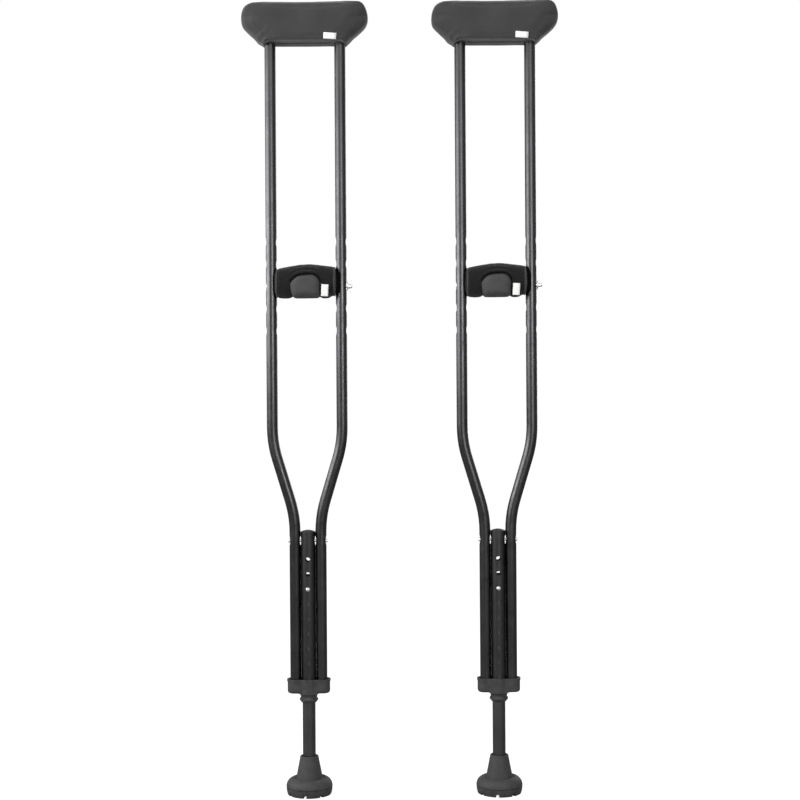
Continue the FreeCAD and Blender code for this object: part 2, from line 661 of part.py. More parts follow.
def upright_clearances():
    """The space that the uprights take up inside the rest, with room for the rivet heads."""
    spaces = []
    for side in SIDES:
        x = side * UPRIGHT_TOP_X
        spaces.append(rod(UPRIGHT_R + PAD_GAP, vec(x, 0, PAD_SKIRT_Z - 10), vec(x, 0, UPRIGHT_TOP_Z + 1)))
        spaces.append(rod(SADDLE_PIN_POCKET_R,
                          vec(x, 0, SADDLE_PIN_Z - SADDLE_PIN_HEAD_R - 1),
                          vec(x, 0, SADDLE_PIN_Z + SADDLE_PIN_HEAD_R + 1)))
    return spaces


def underarm_foam():
    return cut_all(pad_form(COVER_THICKNESS), upright_clearances() + [saddle_beam(PAD_GAP)])


def underarm_cover():
    return cut_all(pad_form().cut(pad_form(COVER_THICKNESS)), upright_clearances())


def tag(placing, y):
    """A blank fabric tag, facing the front."""
    x, z, width, height, tilt = placing
    piece = block(-width / 2, width / 2, y - TAG_THICKNESS, y, -height / 2, height / 2)
    piece.rotate(ORIGIN, Y_AXIS, -tilt)
    piece.translate(vec(x, 0, z))
    return piece


# ---------------------------------------------------------------- hand grip

def upright_slots(gap):
    """The space of both uprights, as cylinders that grip pieces are cut back from."""
    slots = []
    for side in SIDES:
        x = side * UPRIGHT_TOP_X
        slots.append(rod(UPRIGHT_R + gap, vec(x, 0, GRIP_Z - 60), vec(x, 0, GRIP_Z + 60)))
    return slots


def grip_core():
    """Stiff dowel between the uprights, hollowed at its ends to nest on them."""
    core = rod(CORE_R, vec(-CORE_HALF_LENGTH, 0, GRIP_Z), vec(CORE_HALF_LENGTH, 0, GRIP_Z))
    bore = rod(CORE_BORE_R, vec(-CORE_HALF_LENGTH, 0, GRIP_Z), vec(CORE_HALF_LENGTH, 0, GRIP_Z))
    return cut_all(core, upright_slots(GRIP_GAP) + [bore])


def wrap_form(inset, left_x, right_x):
    """The grip's padded body: an egg-shaped section with an arched top."""
    low = WRAP_BOTTOM_Z + inset
    high = WRAP_TOP_Z - inset
    half_height = (high - low) / 2
    ring = Part.Ellipse(ORIGIN, half_height, WRAP_HALF_DEPTH - inset).toShape()
    ring.rotate(ORIGIN, Y_AXIS, -90)
    ring.translate(vec(left_x, 0, low + half_height))
    bar = Part.Face(Part.Wire([ring])).extrude(vec(right_x - left_x, 0, 0))
    left_top = vec(left_x, 40, WRAP_LEFT_TOP_Z - inset)
    right_top = vec(right_x, 40, WRAP_RIGHT_TOP_Z - inset)
    side_view = filled([
        line(vec(left_x, 40, low), vec(right_x, 40, low)),
        line(vec(right_x, 40, low), right_top),
        arc(right_top, vec(0, 40, high), left_top),
        line(left_top, vec(left_x, 40, low)),
    ], vec(0, -80, 0))
    return bar.common(side_view)


def grip_foam():
    x = UPRIGHT_TOP_X - UPRIGHT_R - GRIP_GAP - 1
    foam = wrap_form(WRAP_THICKNESS + 0.1, -x, x)
    core_space = rod(CORE_R + 0.1, vec(-CORE_HALF_LENGTH, 0, GRIP_Z), vec(CORE_HALF_LENGTH, 0, GRIP_Z))
    return foam.cut(core_space)


def grip_wrap():
    """Fabric sleeve round the foam, whose ends lap over the front and back of the uprights."""
    outside = wrap_form(0.0, WRAP_LEFT_X, WRAP_RIGHT_X)
    inner_x = UPRIGHT_TOP_X - UPRIGHT_R - GRIP_GAP
    inside = wrap_form(WRAP_THICKNESS, -inner_x, inner_x)
    slots = []
    for side in SIDES:
        slots.append(block(min(side * inner_x, side * 90), max(side * inner_x, side * 90),
                           -UPRIGHT_R - GRIP_GAP, UPRIGHT_R + GRIP_GAP,
                           GRIP_Z - 60, GRIP_Z + 60))
    core_space = rod(CORE_R + 0.1, vec(-CORE_HALF_LENGTH, 0, GRIP_Z), vec(CORE_HALF_LENGTH, 0, GRIP_Z))
    return cut_all(outside, [inside, core_space] + slots)


def palm_cushion():
    """Oval cushion that stands out of the front of the wrap."""
    left = CUSHION_LEFT_X
    right = CUSHION_RIGHT_X
    middle = (left + right) / 2
    low = CUSHION_BOTTOM_Z
    shoulder = low + 0.5 * (CUSHION_TOP_Z - low)
    slab = filled([
        line(vec(left + 9, 0, low), vec(right - 9, 0, low)),
        arc(vec(right - 9, 0, low), vec(right - 2, 0, low + 6), vec(right, 0, shoulder)),
        arc(vec(right, 0, shoulder), vec(middle, 0, CUSHION_TOP_Z), vec(left, 0, shoulder)),
        arc(vec(left, 0, shoulder), vec(left + 2, 0, low + 6), vec(left + 9, 0, low)),
    ], vec(0, CUSHION_FRONT_Y, 0))
    front_rim = [e for e in slab.Edges if abs(e.CenterOfMass.y - CUSHION_FRONT_Y) < 0.01]
    slab = slab.makeFillet(CUSHION_EDGE_R, front_rim)
    backed = wrap_form(-0.05, WRAP_LEFT_X, WRAP_RIGHT_X)
    return slab.cut(backed).common(block(-60, 60, CUSHION_FRONT_Y - 1, -8, low - 5, CUSHION_TOP_Z + 5))


def grip_closure_strip():
    """Hook-and-loop strip that closes the wrap down its back."""
    middle = (WRAP_BOTTOM_Z + WRAP_TOP_Z) / 2
    band = block(-STRIP_LENGTH / 2, STRIP_LENGTH / 2, 0, 40,
                 middle - STRIP_HEIGHT / 2, middle + STRIP_HEIGHT / 2)
    outer = wrap_form(-STRIP_THICKNESS, WRAP_LEFT_X, WRAP_RIGHT_X)
    inner = wrap_form(-0.05, WRAP_LEFT_X - 5, WRAP_RIGHT_X + 5)
    return band.common(outer).cut(inner)


def grip_bolt():
    """Bolt through both uprights and the dowel, with a low head in the left dimple."""
    dimple_floor = UPRIGHT_TOP_X + UPRIGHT_R - DIMPLE_DEPTH
    head_end = UPRIGHT_TOP_X + UPRIGHT_R - BOLT_HEAD_SINK
    shank = rod(BOLT_R, vec(-dimple_floor - 0.5, 0, GRIP_Z), vec(BOLT_END_X, 0, GRIP_Z))
    tip = [e for e in shank.Edges if abs(e.CenterOfMass.x - BOLT_END_X) < 0.01]
    shank = shank.makeChamfer(0.6, tip)
    head = rod(BOLT_HEAD_R, vec(-dimple_floor + 1, 0, GRIP_Z), vec(-head_end, 0, GRIP_Z))
    head = head.makeFillet(0.9, [e for e in head.Edges if e.CenterOfMass.x < -head_end + 0.01])
    head = head.common(dimple_ball(-UPRIGHT_TOP_X, UPRIGHT_R, -1, GRIP_Z, -0.05))
    return clean(shank.fuse(head))


def nut_washer():
    x = UPRIGHT_TOP_X + UPRIGHT_R + NUT_GAP
    low = vec(x, 0, GRIP_Z)
    high = vec(x + NUT_WASHER_THICKNESS, 0, GRIP_Z)
    return rod(NUT_WASHER_R, low, high).cut(rod(CORE_BORE_R, low, high))


def wing_nut():
    """Wing nut with two ears that splay up and down and away from the upright."""
    x = UPRIGHT_TOP_X + UPRIGHT_R + NUT_GAP + NUT_WASHER_THICKNESS + 0.05
    hub = Part.makeCone(NUT_HUB_R, NUT_HUB_TIP_R, NUT_LENGTH, vec(x, 0, GRIP_Z), X_AXIS)
    ears = []
    for side in SIDES:
        root = vec(x + WING_ROOT[0], 0, GRIP_Z + side * WING_ROOT[1])
        end = vec(x + WING_END[0], 0, GRIP_Z + side * WING_END[1])
        ears.append(round_ended_bar(root, end, WING_R, WING_THICKNESS))
    bore = rod(NUT_BORE_R, vec(x - 1, 0, GRIP_Z), vec(x + NUT_LENGTH + 5, 0, GRIP_Z))
    return clean(hub.fuse(ears).cut(bore))


# ---------------------------------------------------------------- one crutch, and the pair

def crutch_pieces():
    """Every piece of one crutch by name, about its own axis."""
    right_upright = upright()
    return {
        "upright_left": right_upright.mirror(ORIGIN, X_AXIS),
        "upright_right": right_upright,
        "centre_tube": centre_tube(),
        "centre_tube_cap": centre_tube_cap(),
        "cross_rivet": cross_rivet(),
        "leg_collar": leg_collar(),
        "collar_screws": collar_screws(),
        "leg_tube": leg_tube(),
        "leg_top_glide": leg_top_glide(),
        "spring_clip": spring_clip(),
        "snap_button": snap_button(),
        "leg_tip": leg_tip(),
        "tip_washer": tip_washer(),
        "underarm_saddle": underarm_saddle(),
        "saddle_pins": saddle_pins(),
        "underarm_foam": underarm_foam(),
        "underarm_cover": underarm_cover(),
        "underarm_tag": tag(PAD_TAG, PAD_TAG_Y),
        "grip_core": grip_core(),
        "grip_foam": grip_foam(),
        "grip_wrap": grip_wrap(),
        "palm_cushion": palm_cushion(),
        "grip_closure_strip": grip_closure_strip(),
        "grip_tag": tag(GRIP_TAG, GRIP_TAG_Y),
        "grip_bolt": grip_bolt(),
        "nut_washer": nut_washer(),
        "wing_nut": wing_nut(),
    }


def export_pair():
    os.makedirs("parts", exist_ok=True)
    pieces = crutch_pieces()
    for number, side in ((1, -1), (2, 1)):
        for name, shape in pieces.items():
            placed = shape.copy()
            placed.translate(vec(side * CRUTCH_SPACING / 2, 0, 0))
            placed.exportStep(f"parts/crutch{number}_{name}.step")
            print(f"crutch{number}_{name}", len(placed.Solids), round(placed.Volume, 1), placed.isValid())


export_pair()
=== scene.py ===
import json
import math

import bmesh
import bpy
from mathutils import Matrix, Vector, noise
from mathutils.bvhtree import BVHTree
from mathutils.kdtree import KDTree


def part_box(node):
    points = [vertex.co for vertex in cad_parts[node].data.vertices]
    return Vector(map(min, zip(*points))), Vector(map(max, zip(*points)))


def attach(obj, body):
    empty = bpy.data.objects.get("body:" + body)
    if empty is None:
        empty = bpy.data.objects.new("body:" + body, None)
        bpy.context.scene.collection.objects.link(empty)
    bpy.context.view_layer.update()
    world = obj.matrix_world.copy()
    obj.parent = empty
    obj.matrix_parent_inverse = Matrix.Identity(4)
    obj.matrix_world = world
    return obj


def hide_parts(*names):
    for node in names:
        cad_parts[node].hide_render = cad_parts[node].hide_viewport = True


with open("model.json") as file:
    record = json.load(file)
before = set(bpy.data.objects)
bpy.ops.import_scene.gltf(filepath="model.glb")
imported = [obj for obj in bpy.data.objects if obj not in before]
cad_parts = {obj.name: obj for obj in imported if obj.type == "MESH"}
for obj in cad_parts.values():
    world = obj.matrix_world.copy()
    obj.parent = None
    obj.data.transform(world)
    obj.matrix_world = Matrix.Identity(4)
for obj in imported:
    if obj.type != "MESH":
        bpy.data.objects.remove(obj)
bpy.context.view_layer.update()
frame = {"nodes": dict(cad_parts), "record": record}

# A pair of underarm crutches. Everything is in metres, in the CAD's frame. Each soft piece is made
# once, about the axis of crutch 1, and used again on crutch 2.

MM = 0.001
NUMBERS = (1, 2)


# ------------------------------------------------------------------ places, read from the frame

def axis_of(number):
    """The foot of a crutch's axis, in the middle of its centre tube."""
    low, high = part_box(f"crutch{number}_centre_tube")
    return Vector(((low.x + high.x) / 2, 0.0, 0.0))


AXIS = {number: axis_of(number) for number in NUMBERS}


def local_box(node):
    """A node of crutch 1 as (low, high) corners about that crutch's own axis."""
    low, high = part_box(f"crutch1_{node}")
    return low - AXIS[1], high - AXIS[1]


PAD_LOW, PAD_HIGH = local_box("underarm_cover")
WRAP_LOW, WRAP_HIGH = local_box("grip_wrap")
CUSHION_LOW = local_box("palm_cushion")[0]
CORE_LOW, CORE_HIGH = local_box("grip_core")
UPRIGHT_HIGH = local_box("upright_right")[1]
UPRIGHT_R = UPRIGHT_HIGH.y
UPRIGHT_X = UPRIGHT_HIGH.x - UPRIGHT_R
GRIP_Z = (CORE_LOW.z + CORE_HIGH.z) / 2


# ------------------------------------------------------------------ mesh helpers

def new_object(name, data):
    """An object in the scene for some mesh, light or camera."""
    item = bpy.data.objects.new(name, data)
    bpy.context.scene.collection.objects.link(item)
    return item


def make_object(name, vertices, faces, smooth=True):
    mesh = bpy.data.meshes.new(name)
    mesh.from_pydata([tuple(v) for v in vertices], [], faces)
    mesh.validate()
    mesh.update()
    if smooth:
        mesh.shade_smooth()
    else:
        mesh.shade_flat()
    return new_object(name, mesh)


def recalculate_normals(piece):
    work = bmesh.new()
    work.from_mesh(piece.data)
    bmesh.ops.recalc_face_normals(work, faces=work.faces)
    work.to_mesh(piece.data)
    work.free()
    return piece


def many_tubes(name, runs):
    """Many tubes with closed ends as one mesh object; each run holds one tube's rings of points."""
    vertices = []
    faces = []
    for rings in runs:
        first = len(vertices)
        count = len(rings[0])
        for ring in rings:
            vertices.extend(ring)
        for row in range(len(rings) - 1):
            for k in range(count):
                a = first + row * count + k
                b = first + row * count + (k + 1) % count
                faces.append((a, b, b + count, a + count))
        last = first + (len(rings) - 1) * count
        faces.append(tuple(reversed(range(first, first + count))))
        faces.append(tuple(range(last, last + count)))
    return recalculate_normals(make_object(name, vertices, faces))


def rings_to_mesh(name, rings):
    """One tube with closed ends, from its rings of points."""
    return many_tubes(name, [rings])


def frames_along(path):
    """(tangent, side, up) at each point of an open path, turning as little as possible."""
    tangents = []
    for i in range(len(path)):
        ahead = path[min(i + 1, len(path) - 1)]
        behind = path[max(i - 1, 0)]
        tangents.append((ahead - behind).normalized())
    side = tangents[0].orthogonal().normalized()
    frames = []
    for tangent in tangents:
        side = (side - tangent * side.dot(tangent)).normalized()
        frames.append((tangent, side, tangent.cross(side)))
    return frames


def join(name, pieces):
    """Several mesh objects as one."""
    work = bmesh.new()
    for piece in pieces:
        work.from_mesh(piece.data)
        bpy.data.meshes.remove(piece.data)
    mesh = bpy.data.meshes.new(name)
    work.to_mesh(mesh)
    work.free()
    mesh.shade_smooth()
    return new_object(name, mesh)


def modified(piece, kind, **settings):
    """Changes a piece to what one modifier makes of it."""
    modifier = piece.modifiers.new("change", kind)
    for name, value in settings.items():
        setattr(modifier, name, value)
    graph = bpy.context.evaluated_depsgraph_get()
    mesh = bpy.data.meshes.new_from_object(piece.evaluated_get(graph))
    piece.modifiers.clear()
    piece.data = mesh
    mesh.shade_smooth()


def voxel_remesh(piece, size):
    modified(piece, "REMESH", mode="VOXEL", voxel_size=size, use_smooth_shade=True)


def relax(piece, rounds):
    modified(piece, "SMOOTH", factor=0.5, iterations=rounds)


def subdivide(piece):
    modified(piece, "SUBSURF", levels=1, render_levels=1)


def cut_away(piece, tool):
    """Cuts a tool's shape out of a piece; the tool is used up."""
    modified(piece, "BOOLEAN", operation="DIFFERENCE", solver="EXACT", object=tool)
    bpy.data.meshes.remove(tool.data)


def smooth_step(value, low, high):
    """0 below low, 1 above high, and a smooth rise between them."""
    share = min(1.0, max(0.0, (value - low) / (high - low)))
    return share * share * (3 - 2 * share)


def curve_through(points, per_span=8, closed=False):
    """A smooth run of points that passes through each of the given ones."""
    count = len(points)
    curve = []
    for i in range(count if closed else count - 1):
        if closed:
            a, b, c, d = (points[(i + k) % count] for k in (-1, 0, 1, 2))
        else:
            a, b, c, d = (points[min(max(i + k, 0), count - 1)] for k in (-1, 0, 1, 2))
        for step in range(per_span):
            t = step / per_span
            curve.append(0.5 * (2 * b + (c - a) * t + (2 * a - 5 * b + 4 * c - d) * t ** 2
                                + (3 * b - a - 3 * c + d) * t ** 3))
    if not closed:
        curve.append(points[-1])
    return curve


def even_path(points, step, closed=False):
    """The same line with points one step apart."""
    line = list(points) + ([points[0]] if closed else [])
    lengths = [0.0]
    for a, b in zip(line, line[1:]):
        lengths.append(lengths[-1] + (b - a).length)
    count = max(2, round(lengths[-1] / step))
    even = []
    place = 0
    for i in range(count if closed else count + 1):
        wanted = lengths[-1] * i / count
        while place < len(line) - 2 and lengths[place + 1] < wanted:
            place += 1
        span = lengths[place + 1] - lengths[place]
        share = (wanted - lengths[place]) / span if span else 0.0
        even.append(line[place].lerp(line[place + 1], share))
    return even


def height_along(profile, x):
    """The height at x on a line of (x, height) points, which run from left to right."""
    if x <= profile[0].x:
        return profile[0].y
    for a, b in zip(profile, profile[1:]):
        if x <= b.x:
            return a.y + (b.y - a.y) * (x - a.x) / (b.x - a.x)
    return profile[-1].y


def quad_box(counts):
    """The surface of a unit box as even quads: vertices, faces, and vertex numbers by (i, j, k)."""
    number = {}
    vertices = []

    def corner(key):
        if key not in number:
            number[key] = len(vertices)
            vertices.append(Vector(key[axis] / counts[axis] for axis in range(3)))
        return number[key]

    faces = []
    for axis in range(3):
        u, v = (axis + 1) % 3, (axis + 2) % 3
        for level in (0, counts[axis]):
            for i in range(counts[u]):
                for j in range(counts[v]):
                    face = []
                    for du, dv in ((0, 0), (1, 0), (1, 1), (0, 1)):
                        key = [0, 0, 0]
                        key[axis], key[u], key[v] = level, i + du, j + dv
                        face.append(corner(tuple(key)))
                    faces.append(tuple(face))
    return vertices, faces, number


def on_spine(spine, x):
    """The point of a spine that is nearest to x; a spine is (least x, greatest x, z)."""
    return Vector((min(max(x, spine[0]), spine[1]), 0.0, spine[2]))


def cushion_form(outline, spine, depth_front, depth_back, squareness, layers):
    """A closed form that fills an outline in the XZ plane and is rounded towards the front and back.

    The rounding turns about the spine. squareness(point) says how boxy it is there: 2 is round,
    and 10 is nearly a sharp edge."""
    rings = []
    for side, depth in ((-1, depth_front), (1, depth_back)):
        steps = range(layers, 0, -1) if side < 0 else range(layers + 1)
        for step in steps:
            lean = math.pi / 2 * step / (layers + 0.5)
            ring = []
            for point in outline:
                power = squareness(point)
                placed = on_spine(spine, point.x).lerp(point, math.cos(lean) ** (2 / power))
                placed.y = side * depth * math.sin(lean) ** (2 / power) if step else 0.0
                ring.append(placed)
            rings.append(ring)
    return rings_to_mesh("form", rings)


def grid_on_form(name, form, box, counts, spine):
    """An even grid of quads, thrown outwards from the spine onto a form; the form is used up."""
    graph = bpy.context.evaluated_depsgraph_get()
    tree = BVHTree.FromObject(form, graph)
    low, high = box
    shares, faces, number = quad_box(counts)
    vertices = []
    for share in shares:
        point = Vector(low[axis] + share[axis] * (high[axis] - low[axis]) for axis in range(3))
        anchor = on_spine(spine, point.x)
        hit = tree.ray_cast(anchor, (point - anchor).normalized())[0]
        vertices.append(hit if hit else point)
    bpy.data.meshes.remove(form.data)
    return recalculate_normals(make_object(name, vertices, faces)), number


def swell(piece, held, pressure, frames, cap, spare):
    """Blows a closed cloth up with a cloth simulation and keeps the result.

    held gives the weight of each point that is held. No point moves further than cap, and spare is
    the share by which the cloth may grow."""
    start = [v.co.copy() for v in piece.data.vertices]
    group = piece.vertex_groups.new(name="held")
    for index, weight in held.items():
        group.add([index], weight, "REPLACE")
    modifier = piece.modifiers.new("swell", "CLOTH")
    cloth = modifier.settings
    cloth.quality = 6
    cloth.mass = 0.2
    cloth.tension_stiffness = 12
    cloth.compression_stiffness = 12
    cloth.shear_stiffness = 6
    cloth.bending_stiffness = 0.4
    cloth.use_pressure = True
    cloth.uniform_pressure_force = pressure
    cloth.vertex_group_mass = "held"
    cloth.effector_weights.gravity = 0.0
    cloth.shrink_min = -spare
    modifier.collision_settings.use_collision = False
    modifier.point_cache.frame_start = 1
    modifier.point_cache.frame_end = frames
    for moment in range(1, frames + 1):
        bpy.context.scene.frame_set(moment)
    graph = bpy.context.evaluated_depsgraph_get()
    blown = piece.evaluated_get(graph).to_mesh()
    for vertex, before, after in zip(piece.data.vertices, start, blown.vertices):
        move = after.co - before
        if move.length > cap:
            move = move.normalized() * cap
        vertex.co = before + move
    piece.modifiers.clear()
    piece.vertex_groups.clear()
    bpy.context.scene.frame_set(1)
    piece.data.update()


OUTSIDE = 0.2                    # a distance from the middle that is in front of or behind everything


class Surface:
    """The outside of a finished mesh, for laying seams and stitches on it."""

    def __init__(self, piece):
        graph = bpy.context.evaluated_depsgraph_get()
        self.tree = BVHTree.FromObject(piece, graph)

    def nearest(self, point):
        place, normal, _, _ = self.tree.find_nearest(point)
        return place, normal

    def struck(self, path, side, lift=0.0):
        """The path thrown straight onto the front (side -1) or the back (side 1) of the surface."""
        moved = []
        for point in path:
            start = Vector((point.x, side * OUTSIDE, point.z))
            place, normal, _, _ = self.tree.ray_cast(start, Vector((0.0, -side, 0.0)))
            if place is not None:
                moved.append(place + normal * lift)
        return moved

    def laid(self, path, lift=0.0):
        """The path moved onto the surface, raised along the surface's normals."""
        moved = []
        for point in path:
            place, normal = self.nearest(point)
            moved.append(place + normal * lift)
        return moved


def press(piece, path, half_width, depth, taper=False):
    """Presses a soft groove into a mesh along a path, or raises a ridge where depth is negative."""
    tree = KDTree(len(path))
    for i, point in enumerate(path):
        tree.insert(point, i)
    tree.balance()
    normals = [v.normal.copy() for v in piece.data.vertices]
    for vertex, normal in zip(piece.data.vertices, normals):
        _, index, gap = tree.find(vertex.co)
        if gap < half_width:
            strength = math.sin(math.pi * index / max(1, len(path) - 1)) if taper else 1.0
            vertex.co -= normal * depth * strength * (1 - smooth_step(gap, 0.0, half_width))
    piece.data.update()


def crumple(piece, amount, size):
    """Uneven cloth: moves each point along its normal by smooth noise."""
    normals = [v.normal.copy() for v in piece.data.vertices]
    for vertex, normal in zip(piece.data.vertices, normals):
        vertex.co += normal * amount * noise.noise(vertex.co / size)
    piece.data.update()


def circle(centre, side, up, radius, segments):
    """A ring of points about a centre, in the plane of two directions."""
    angles = [2 * math.pi * k / segments for k in range(segments)]
    return [centre + side * math.cos(a) * radius + up * math.sin(a) * radius for a in angles]


def tube_rings(path, radius, segments=10, end_size=0.45):
    """Rings of points round an open path; end_size is the share of the radius left at its ends."""
    rings = []
    last = len(path) - 1
    for i, (point, (_, side, up)) in enumerate(zip(path, frames_along(path))):
        size = radius * (end_size if i in (0, last) else 1.0)
        rings.append(circle(point, side, up, size, segments))
    return rings


STITCH_LENGTH = 2.4 * MM
STITCH_GAP = 1.1 * MM
STITCH_STEP = 0.4 * MM           # between the points of one stitch
THREAD_R = 0.24 * MM


def stitches(surface, path, length=STITCH_LENGTH, gap=STITCH_GAP):
    """Rings of a running stitch: short humps of thread laid on a surface along a path."""
    runs = []
    line = even_path(path, STITCH_STEP)
    per_stitch = round(length / STITCH_STEP)
    pitch = per_stitch + round(gap / STITCH_STEP)
    for start in range(0, len(line) - per_stitch, pitch):
        points = []
        for i in range(per_stitch + 1):
            place, normal = surface.nearest(line[start + i])
            hump = math.sin(math.pi * i / per_stitch)
            points.append(place + normal * THREAD_R * (1.6 * hump - 0.6))
        runs.append(tube_rings(points, THREAD_R, 6))
    return runs


# A ribbon's section, as shares of its half width and of its half thickness.
RIBBON_SECTION = ((-1, -1), (-0.5, -1), (0, -1), (0.5, -1), (1, -1),
                  (1, 1), (0.5, 1), (0, 1), (-0.5, 1), (-1, 1))


def ribbon(name, half, path, thickness):
    """A flat band along a path; half points to one side and is half the width long."""
    rings = []
    for point, (tangent, _, _) in zip(path, frames_along(path)):
        face = tangent.cross(half).normalized() * thickness / 2
        rings.append([point + half * s + face * t for s, t in RIBBON_SECTION])
    return rings_to_mesh(name, rings)


# ------------------------------------------------------------------ materials

NOISE_LOW, NOISE_HIGH = 0.3, 0.7  # most of a noise texture's values lie between these
BAND_PERIOD = 0.314              # a wave texture of scale 1 repeats after this many metres


class Recipe:
    """A material being made: a principled shader, and short ways to add nodes to it."""

    def __init__(self, name, colour, roughness, metallic=0.0):
        self.material = bpy.data.materials.new(name)
        self.material.use_nodes = True
        self.tree = self.material.node_tree
        self.shader = self.tree.nodes["Principled BSDF"]
        self.colour = colour
        self.set("Base Color", (*colour, 1.0))
        self.set("Roughness", roughness)
        self.set("Metallic", metallic)
        self.place = self.add("ShaderNodeTexCoord").outputs["Object"]
        self.height = None

    def add(self, kind, values=None, **settings):
        """A new node with its input values, by socket name, and its settings."""
        node = self.tree.nodes.new(kind)
        for name, setting in settings.items():
            setattr(node, name, setting)
        for socket, value in (values or {}).items():
            node.inputs[socket].default_value = value
        return node

    def set(self, socket, value):
        self.shader.inputs[socket].default_value = value

    def link(self, source, target):
        self.tree.links.new(source, target)

    def stretched(self, scale):
        """The object's coordinates, scaled by axis."""
        mapping = self.add("ShaderNodeMapping", {"Scale": scale})
        self.link(self.place, mapping.inputs["Vector"])
        return mapping.outputs["Vector"]

    def noise(self, scale, detail=3.0, vector=None, rough=0.5):
        node = self.add("ShaderNodeTexNoise", {"Scale": scale, "Detail": detail, "Roughness": rough})
        self.link(vector or self.place, node.inputs["Vector"])
        return node.outputs["Fac"]

    def cells(self, scale):
        node = self.add("ShaderNodeTexVoronoi", {"Scale": scale})
        self.link(self.place, node.inputs["Vector"])
        return node.outputs["Distance"]

    def bands(self, pitch, direction, distortion=0.0):
        """Stripes at a pitch in metres."""
        values = {"Scale": BAND_PERIOD / pitch, "Distortion": distortion}
        node = self.add("ShaderNodeTexWave", values, bands_direction=direction)
        self.link(self.place, node.inputs["Vector"])
        return node.outputs["Fac"]

    def maths(self, operation, a, b):
        node = self.add("ShaderNodeMath", operation=operation)
        for socket, value in zip(node.inputs, (a, b)):
            if isinstance(value, (int, float)):
                socket.default_value = value
            else:
                self.link(value, socket)
        return node.outputs["Value"]

    def vary_colour(self, value, dark, light):
        """The base colour swings between two shares of itself as the value rises."""
        ramp = self.add("ShaderNodeValToRGB")
        for end, place, share in zip(ramp.color_ramp.elements, (NOISE_LOW, NOISE_HIGH), (dark, light)):
            end.position = place
            end.color = (*[c * share for c in self.colour], 1.0)
        self.link(value, ramp.inputs["Fac"])
        self.link(ramp.outputs["Color"], self.shader.inputs["Base Color"])

    def vary_roughness(self, value, low, high):
        """The roughness goes from low to high as the value rises."""
        values = {"From Min": NOISE_LOW, "From Max": NOISE_HIGH, "To Min": low, "To Max": high}
        node = self.add("ShaderNodeMapRange", values)
        self.link(value, node.inputs["Value"])
        self.link(node.outputs["Result"], self.shader.inputs["Roughness"])

    def raise_by(self, value, amount):
        """Adds a height in metres to the surface's relief."""
        part = self.maths("MULTIPLY", value, amount)
        self.height = part if self.height is None else self.maths("ADD", self.height, part)

    def done(self):
        """The finished material, with its relief."""
        if self.height is not None:
            bump = self.add("ShaderNodeBump", {"Strength": 1.0, "Distance": 1.0})
            self.link(self.height, bump.inputs["Height"])
            self.link(bump.outputs["Normal"], self.shader.inputs["Normal"])
        return self.material


def anodised_metal(name, colour, roughness):
    """Dyed aluminium tube: satin, with faint lines along its length and small scuffs."""
    recipe = Recipe(name, colour, roughness, metallic=1.0)
    drawn = recipe.noise(900.0, 2.0, recipe.stretched((1.0, 1.0, 0.012)))
    cloud = recipe.noise(14.0, 4.0)
    recipe.vary_colour(cloud, 0.88, 1.12)
    recipe.vary_roughness(recipe.noise(60.0, 5.0), roughness - 0.04, roughness + 0.08)
    recipe.raise_by(drawn, 0.004 * MM)
    recipe.raise_by(recipe.noise(2200.0, 2.0), 0.0025 * MM)
    return recipe.done()


def moulded_plastic(name, colour, roughness):
    """Injection moulding with a fine spark texture."""
    recipe = Recipe(name, colour, roughness)
    recipe.vary_colour(recipe.noise(120.0, 5.0), 0.72, 1.30)
    recipe.vary_roughness(recipe.noise(180.0, 3.0), roughness - 0.06, roughness + 0.08)
    recipe.raise_by(recipe.noise(1600.0, 3.0), 0.05 * MM)
    return recipe.done()


def moulded_rubber(name, colour):
    """Matte rubber: fine grain, a dusty bloom and small pits."""
    recipe = Recipe(name, colour, 0.66)
    bloom = recipe.noise(90.0, 6.0, rough=0.62)
    recipe.vary_colour(bloom, 0.62, 1.42)
    recipe.vary_roughness(recipe.noise(90.0, 4.0), 0.58, 0.78)
    recipe.raise_by(recipe.noise(900.0, 4.0), 0.07 * MM)
    recipe.raise_by(recipe.cells(420.0), 0.05 * MM)
    return recipe.done()


def plated_steel(name, colour, roughness):
    """Plated steel: bright and slightly mottled."""
    recipe = Recipe(name, colour, roughness, metallic=1.0)
    recipe.vary_colour(recipe.noise(120.0, 4.0), 0.88, 1.08)
    recipe.vary_roughness(recipe.noise(350.0, 4.0), roughness - 0.06, roughness + 0.14)
    recipe.raise_by(recipe.noise(1500.0, 3.0), 0.015 * MM)
    return recipe.done()


def knitted_cloth(name, colour, pitch, relief, sheen, roughness=0.86, fuzz=0.5, specular=0.5):
    """Fine knit: a lattice of loops from three runs of bands, with soft uneven shading."""
    recipe = Recipe(name, colour, roughness)
    warp = recipe.bands(pitch, "X", 0.6)
    rise = recipe.bands(pitch, "Z", 0.6)
    deep = recipe.bands(pitch, "Y", 0.6)
    face = recipe.maths("MULTIPLY", warp, rise)
    lattice = recipe.maths("ADD", face, recipe.maths("MULTIPLY", deep, 0.5))
    fibre = recipe.noise(1.6 / pitch, 3.0)
    cloud = recipe.noise(22.0, 5.0)
    fine = recipe.maths("MULTIPLY", fibre, fuzz)
    coarse = recipe.maths("MULTIPLY", cloud, 1 - fuzz)
    recipe.vary_colour(recipe.maths("ADD", fine, coarse), 0.74, 1.3)
    recipe.vary_roughness(fibre, roughness - 0.06, min(1.0, roughness + 0.08))
    recipe.raise_by(lattice, relief)
    recipe.raise_by(fibre, relief * 0.6)
    recipe.set("Specular IOR Level", specular)
    recipe.set("Sheen Weight", sheen)
    recipe.set("Sheen Roughness", 0.45)
    return recipe.done()


